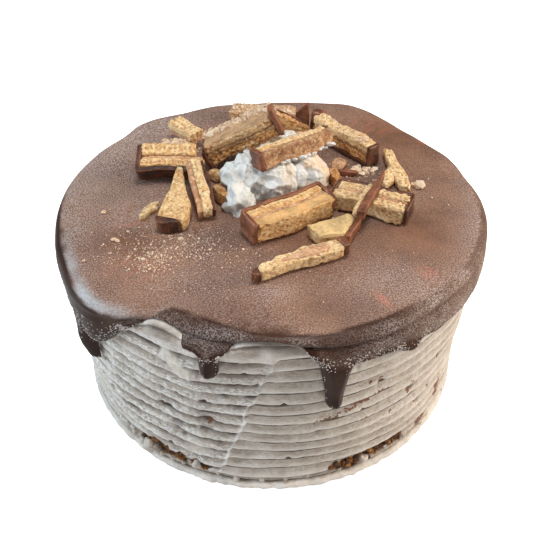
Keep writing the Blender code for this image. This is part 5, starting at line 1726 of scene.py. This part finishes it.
def folded(points, normal):
    """Cream pushed along its normals: crumpled and creased at the left, and pleated at the right."""
    left = smooth(points[:, 0], 3.0, -5.0)
    warped = points + 0.8 * np.stack([noise(points, 4, seed) for seed in (70, 71, 72)], -1)
    crumple = 1.9 * folds(warped, 5.0, 73) + 1.0 * folds(warped, 2.5, 76) + 0.5 * folds(points, 1.2, 77) - 3.2
    for number, (x, y, z, pitch, height) in enumerate(CREASES):
        across = points @ np.array([x, y, z]) / math.hypot(x, y, z) / pitch
        across = across + 0.3 * noise(points, 7, 81 + number)
        crumple = crumple + height * np.abs(across - np.round(across)) * 2
    turn = np.degrees(np.arctan2(points[:, 1] - 16, points[:, 0] - 4))
    pleat = 1.2 * np.abs(np.sin(np.radians(turn * 5) + 2.2 * noise(points, 9, 86)))
    pleat = pleat + 0.6 * folds(warped, 3.0, 78) - 1.3 + 0.35 * folds(points, 1.3, 79)
    push = crumple * (0.15 + 0.85 * left) + (pleat + 0.2 * clouds(points, 2.4, 2, 87)) * (1 - left)
    return points + normal * push[:, None]


def frilled(points, normal):
    """Cream spread out unevenly at its foot, and cut off just under the top of the cap."""
    skirt = smooth(points[:, 2], TOP + 3.2, TOP + 0.4)
    frill = 0.9 * clouds(points, 2.2, 2, 88) + 0.35
    points = points + normal * (1, 1, 0) * (skirt * frill)[:, None]
    points[:, 2] = np.maximum(points[:, 2], TOP - 0.4)
    return points


def build_cream(material):
    """Whipped cream: lumps in one skin, folded, spread at the foot, and tan where x is high."""
    mesh = cream_blob(material)
    normal = vertex_rows(mesh, "normal")
    points = vertex_rows(mesh, "co").astype(float) / MM - AXIS_PLACE
    points = frilled(folded(points, normal), normal)
    # tan tint towards high x, broken up by noise
    stain = smooth(points[:, 0], 0, 11) * smooth(clouds(points, 5, 2, 89), -0.8, 0.5) * 0.85
    mesh.vertices.foreach_set("co", ((points + AXIS_PLACE) * MM).astype(np.float32).reshape(-1))
    mesh.update()
    mesh.polygons.foreach_set("use_smooth", np.ones(len(mesh.polygons), bool))
    mesh.attributes.new("stain", "FLOAT", "POINT").data.foreach_set("value", stain.astype(np.float32))
    mesh.materials.clear()
    mesh.materials.append(material)
    mesh.name = "whipped_cream"
    make_piece("whipped_cream", mesh, "cream", "cream")


def build_cream_smears(material):
    """Dabs of cream on the lower edge of the bar that lies on it, of sizes drawn from a seed."""
    bar = Bar("cream_bar")
    chance = np.random.default_rng(61)
    form = Form()
    for number, along in enumerate(SMEARS):
        half = chance.uniform(0.35, 0.8)
        height = -3.0 + chance.uniform(0, 0.8) * (along > 8)
        centre = bar.placed(np.array([along, -3.4, height]))
        form.shell(lump_rows(centre, (1.8 * half, half, half), 400 + number, 0.4, 14, 10))
    form.finish("cream_smears", material, "cream")


# ---------------------------------------------------------------- crumbs
def build_crumbs(material):
    """Wafer dust and crumbs: clusters of seeded draws on the cap, dust on the bars, and single crumbs."""
    chance = np.random.default_rng(91)
    form = Form()
    for x, y, wide, deep, count, size in CLUSTERS:
        place_x, place_y = chance.normal(x, wide, count), chance.normal(y, deep, count)
        size = CRUMB_SCALE * size * chance.lognormal(0, 0.4, count)
        place = np.stack([place_x, place_y, TOP + 0.35 * size], -1)
        inside = np.hypot(place_x, place_y) < 70
        form.scatter(place[inside], size[inside], 92 + int(x), shade=chance.uniform(0.3, 1, inside.sum()))
    for name, along, across, level, count, size in DUSTED:
        place = [chance.uniform(*along, count), chance.uniform(*across, count), np.full(count, level)]
        size = size * chance.lognormal(0, 0.45, count)
        place = Bar(name).placed(np.stack(place, -1))
        form.scatter(place, size, count, shade=chance.uniform(0, 0.8, count))
    x, y, size = np.array(LONE_CRUMBS).T
    place = np.stack([x, y, TOP + 0.4 * size], -1)
    form.scatter(place, size, 93, flat=0.7, shade=np.linspace(0.3, 0.9, len(size)))
    form.finish("wafer_crumbs", material, "wafer", flat_shaded=True)


# ---------------------------------------------------------------- stage
def add_floor(half=3.0):
    """Wide floor that the camera sees as pure white and that gives off no light of its own otherwise."""
    material, n, shader = new_material("floor_paint", Roughness=0.9)
    shader["Base Color"].default_value = (0.75, 0.75, 0.75, 1)
    shader["Emission Color"].default_value = (1, 1, 1, 1)
    n.join(n.add("LightPath").outputs["Is Camera Ray"], shader["Emission Strength"])
    corners = [(-half, -half, 0), (half, -half, 0), (half, half, 0), (-half, half, 0)]
    mesh = bpy.data.meshes.new("floor")
    mesh.from_pydata(corners, [], [(0, 1, 2, 3)])
    mesh.materials.append(material)
    floor = bpy.data.objects.new("floor", mesh)
    bpy.context.scene.collection.objects.link(floor)


def add_sky():
    """White surroundings: bright to the camera, and dim as a light."""
    world = bpy.data.worlds.new("studio")
    world.use_nodes = True
    sky = world.node_tree.nodes["Background"]
    sky.inputs["Color"].default_value = (1, 1, 1, 1)
    n = Nodes(world.node_tree)
    seen = n.add("LightPath").outputs["Is Camera Ray"]
    n.join(n.step(seen, 0, 1, 0.17, 1.0), sky.inputs["Strength"])
    bpy.context.scene.world = world


def add_light(name, place, size, power, tint):
    """Soft square light that points at the cake, at a place in metres."""
    data = bpy.data.lights.new(name, "AREA")
    data.size = size
    data.energy = power
    data.color = tint
    light = bpy.data.objects.new(name, data)
    light.location = place
    aim = -np.array(place) + (0, 0, 0.04)
    light.rotation_mode = "QUATERNION"
    light.rotation_quaternion = Vector(aim).to_track_quat("-Z", "Y")
    bpy.context.scene.collection.objects.link(light)


def add_camera():
    """Camera at the photograph's height and distance, with its middle nudged to the photograph's."""
    data = bpy.data.cameras.new("camera")
    pixels, focal, middle = 533, 624.7, (270.8, 269.2)
    data.sensor_width = 36
    data.lens = focal / pixels * data.sensor_width
    data.shift_x = -(middle[0] - pixels / 2) / pixels
    data.shift_y = (middle[1] - pixels / 2) / pixels
    data.clip_start = 0.01
    camera = bpy.data.objects.new("camera", data)
    distance, lift, aim = 252.8, math.radians(39.22), 36.0
    place = np.array([0, -distance * math.cos(lift), aim + distance * math.sin(lift)]) + AXIS_PLACE
    camera.location = place * MM
    camera.rotation_euler = (math.pi / 2 - lift, 0, 0)
    bpy.context.scene.collection.objects.link(camera)
    bpy.context.scene.camera = camera


def build_stage():
    """Pale floor, plain studio lights and the camera at the photograph's angle."""
    add_floor()
    add_light("right_window", (0.6, 0.0, 0.3), 0.3, 3.1, (1.0, 0.83, 0.645))
    add_light("left_window", (-0.62, -0.1, 0.3), 0.3, 2.6, (0.8, 0.92, 1.0))
    add_light("ceiling", (0.05, -0.08, 0.75), 0.2, 2.3, (1.0, 0.97, 0.93))
    add_light("front_wall", (0.2, -0.8, 0.4), 0.4, 0.8, (1.0, 0.95, 0.89))
    add_sky()
    bpy.context.scene.view_settings.view_transform = "Standard"
    add_camera()


def main():
    """Build every piece, from the drum up, and then the stage."""
    m = make_materials()
    build_frosting(m["frosting"])
    build_crumb_base(m["cookie"])
    build_gap_crumbs(m["cookie"])
    build_foot_lumps(m["frosting"])
    cap, drape = build_ganache(m["ganache"])
    build_frost_beads(cap, drape, m["ice"])
    build_left_group(m)
    build_back_group(m)
    build_right_group(m)
    build_front_bars(m)
    build_front_pieces(m)
    build_forked_wafer(m["straw"])
    build_bits(m)
    build_cream(m["cream"])
    build_cream_smears(m["cream"])
    build_crumbs(m["loose"])
    build_stage()


main()
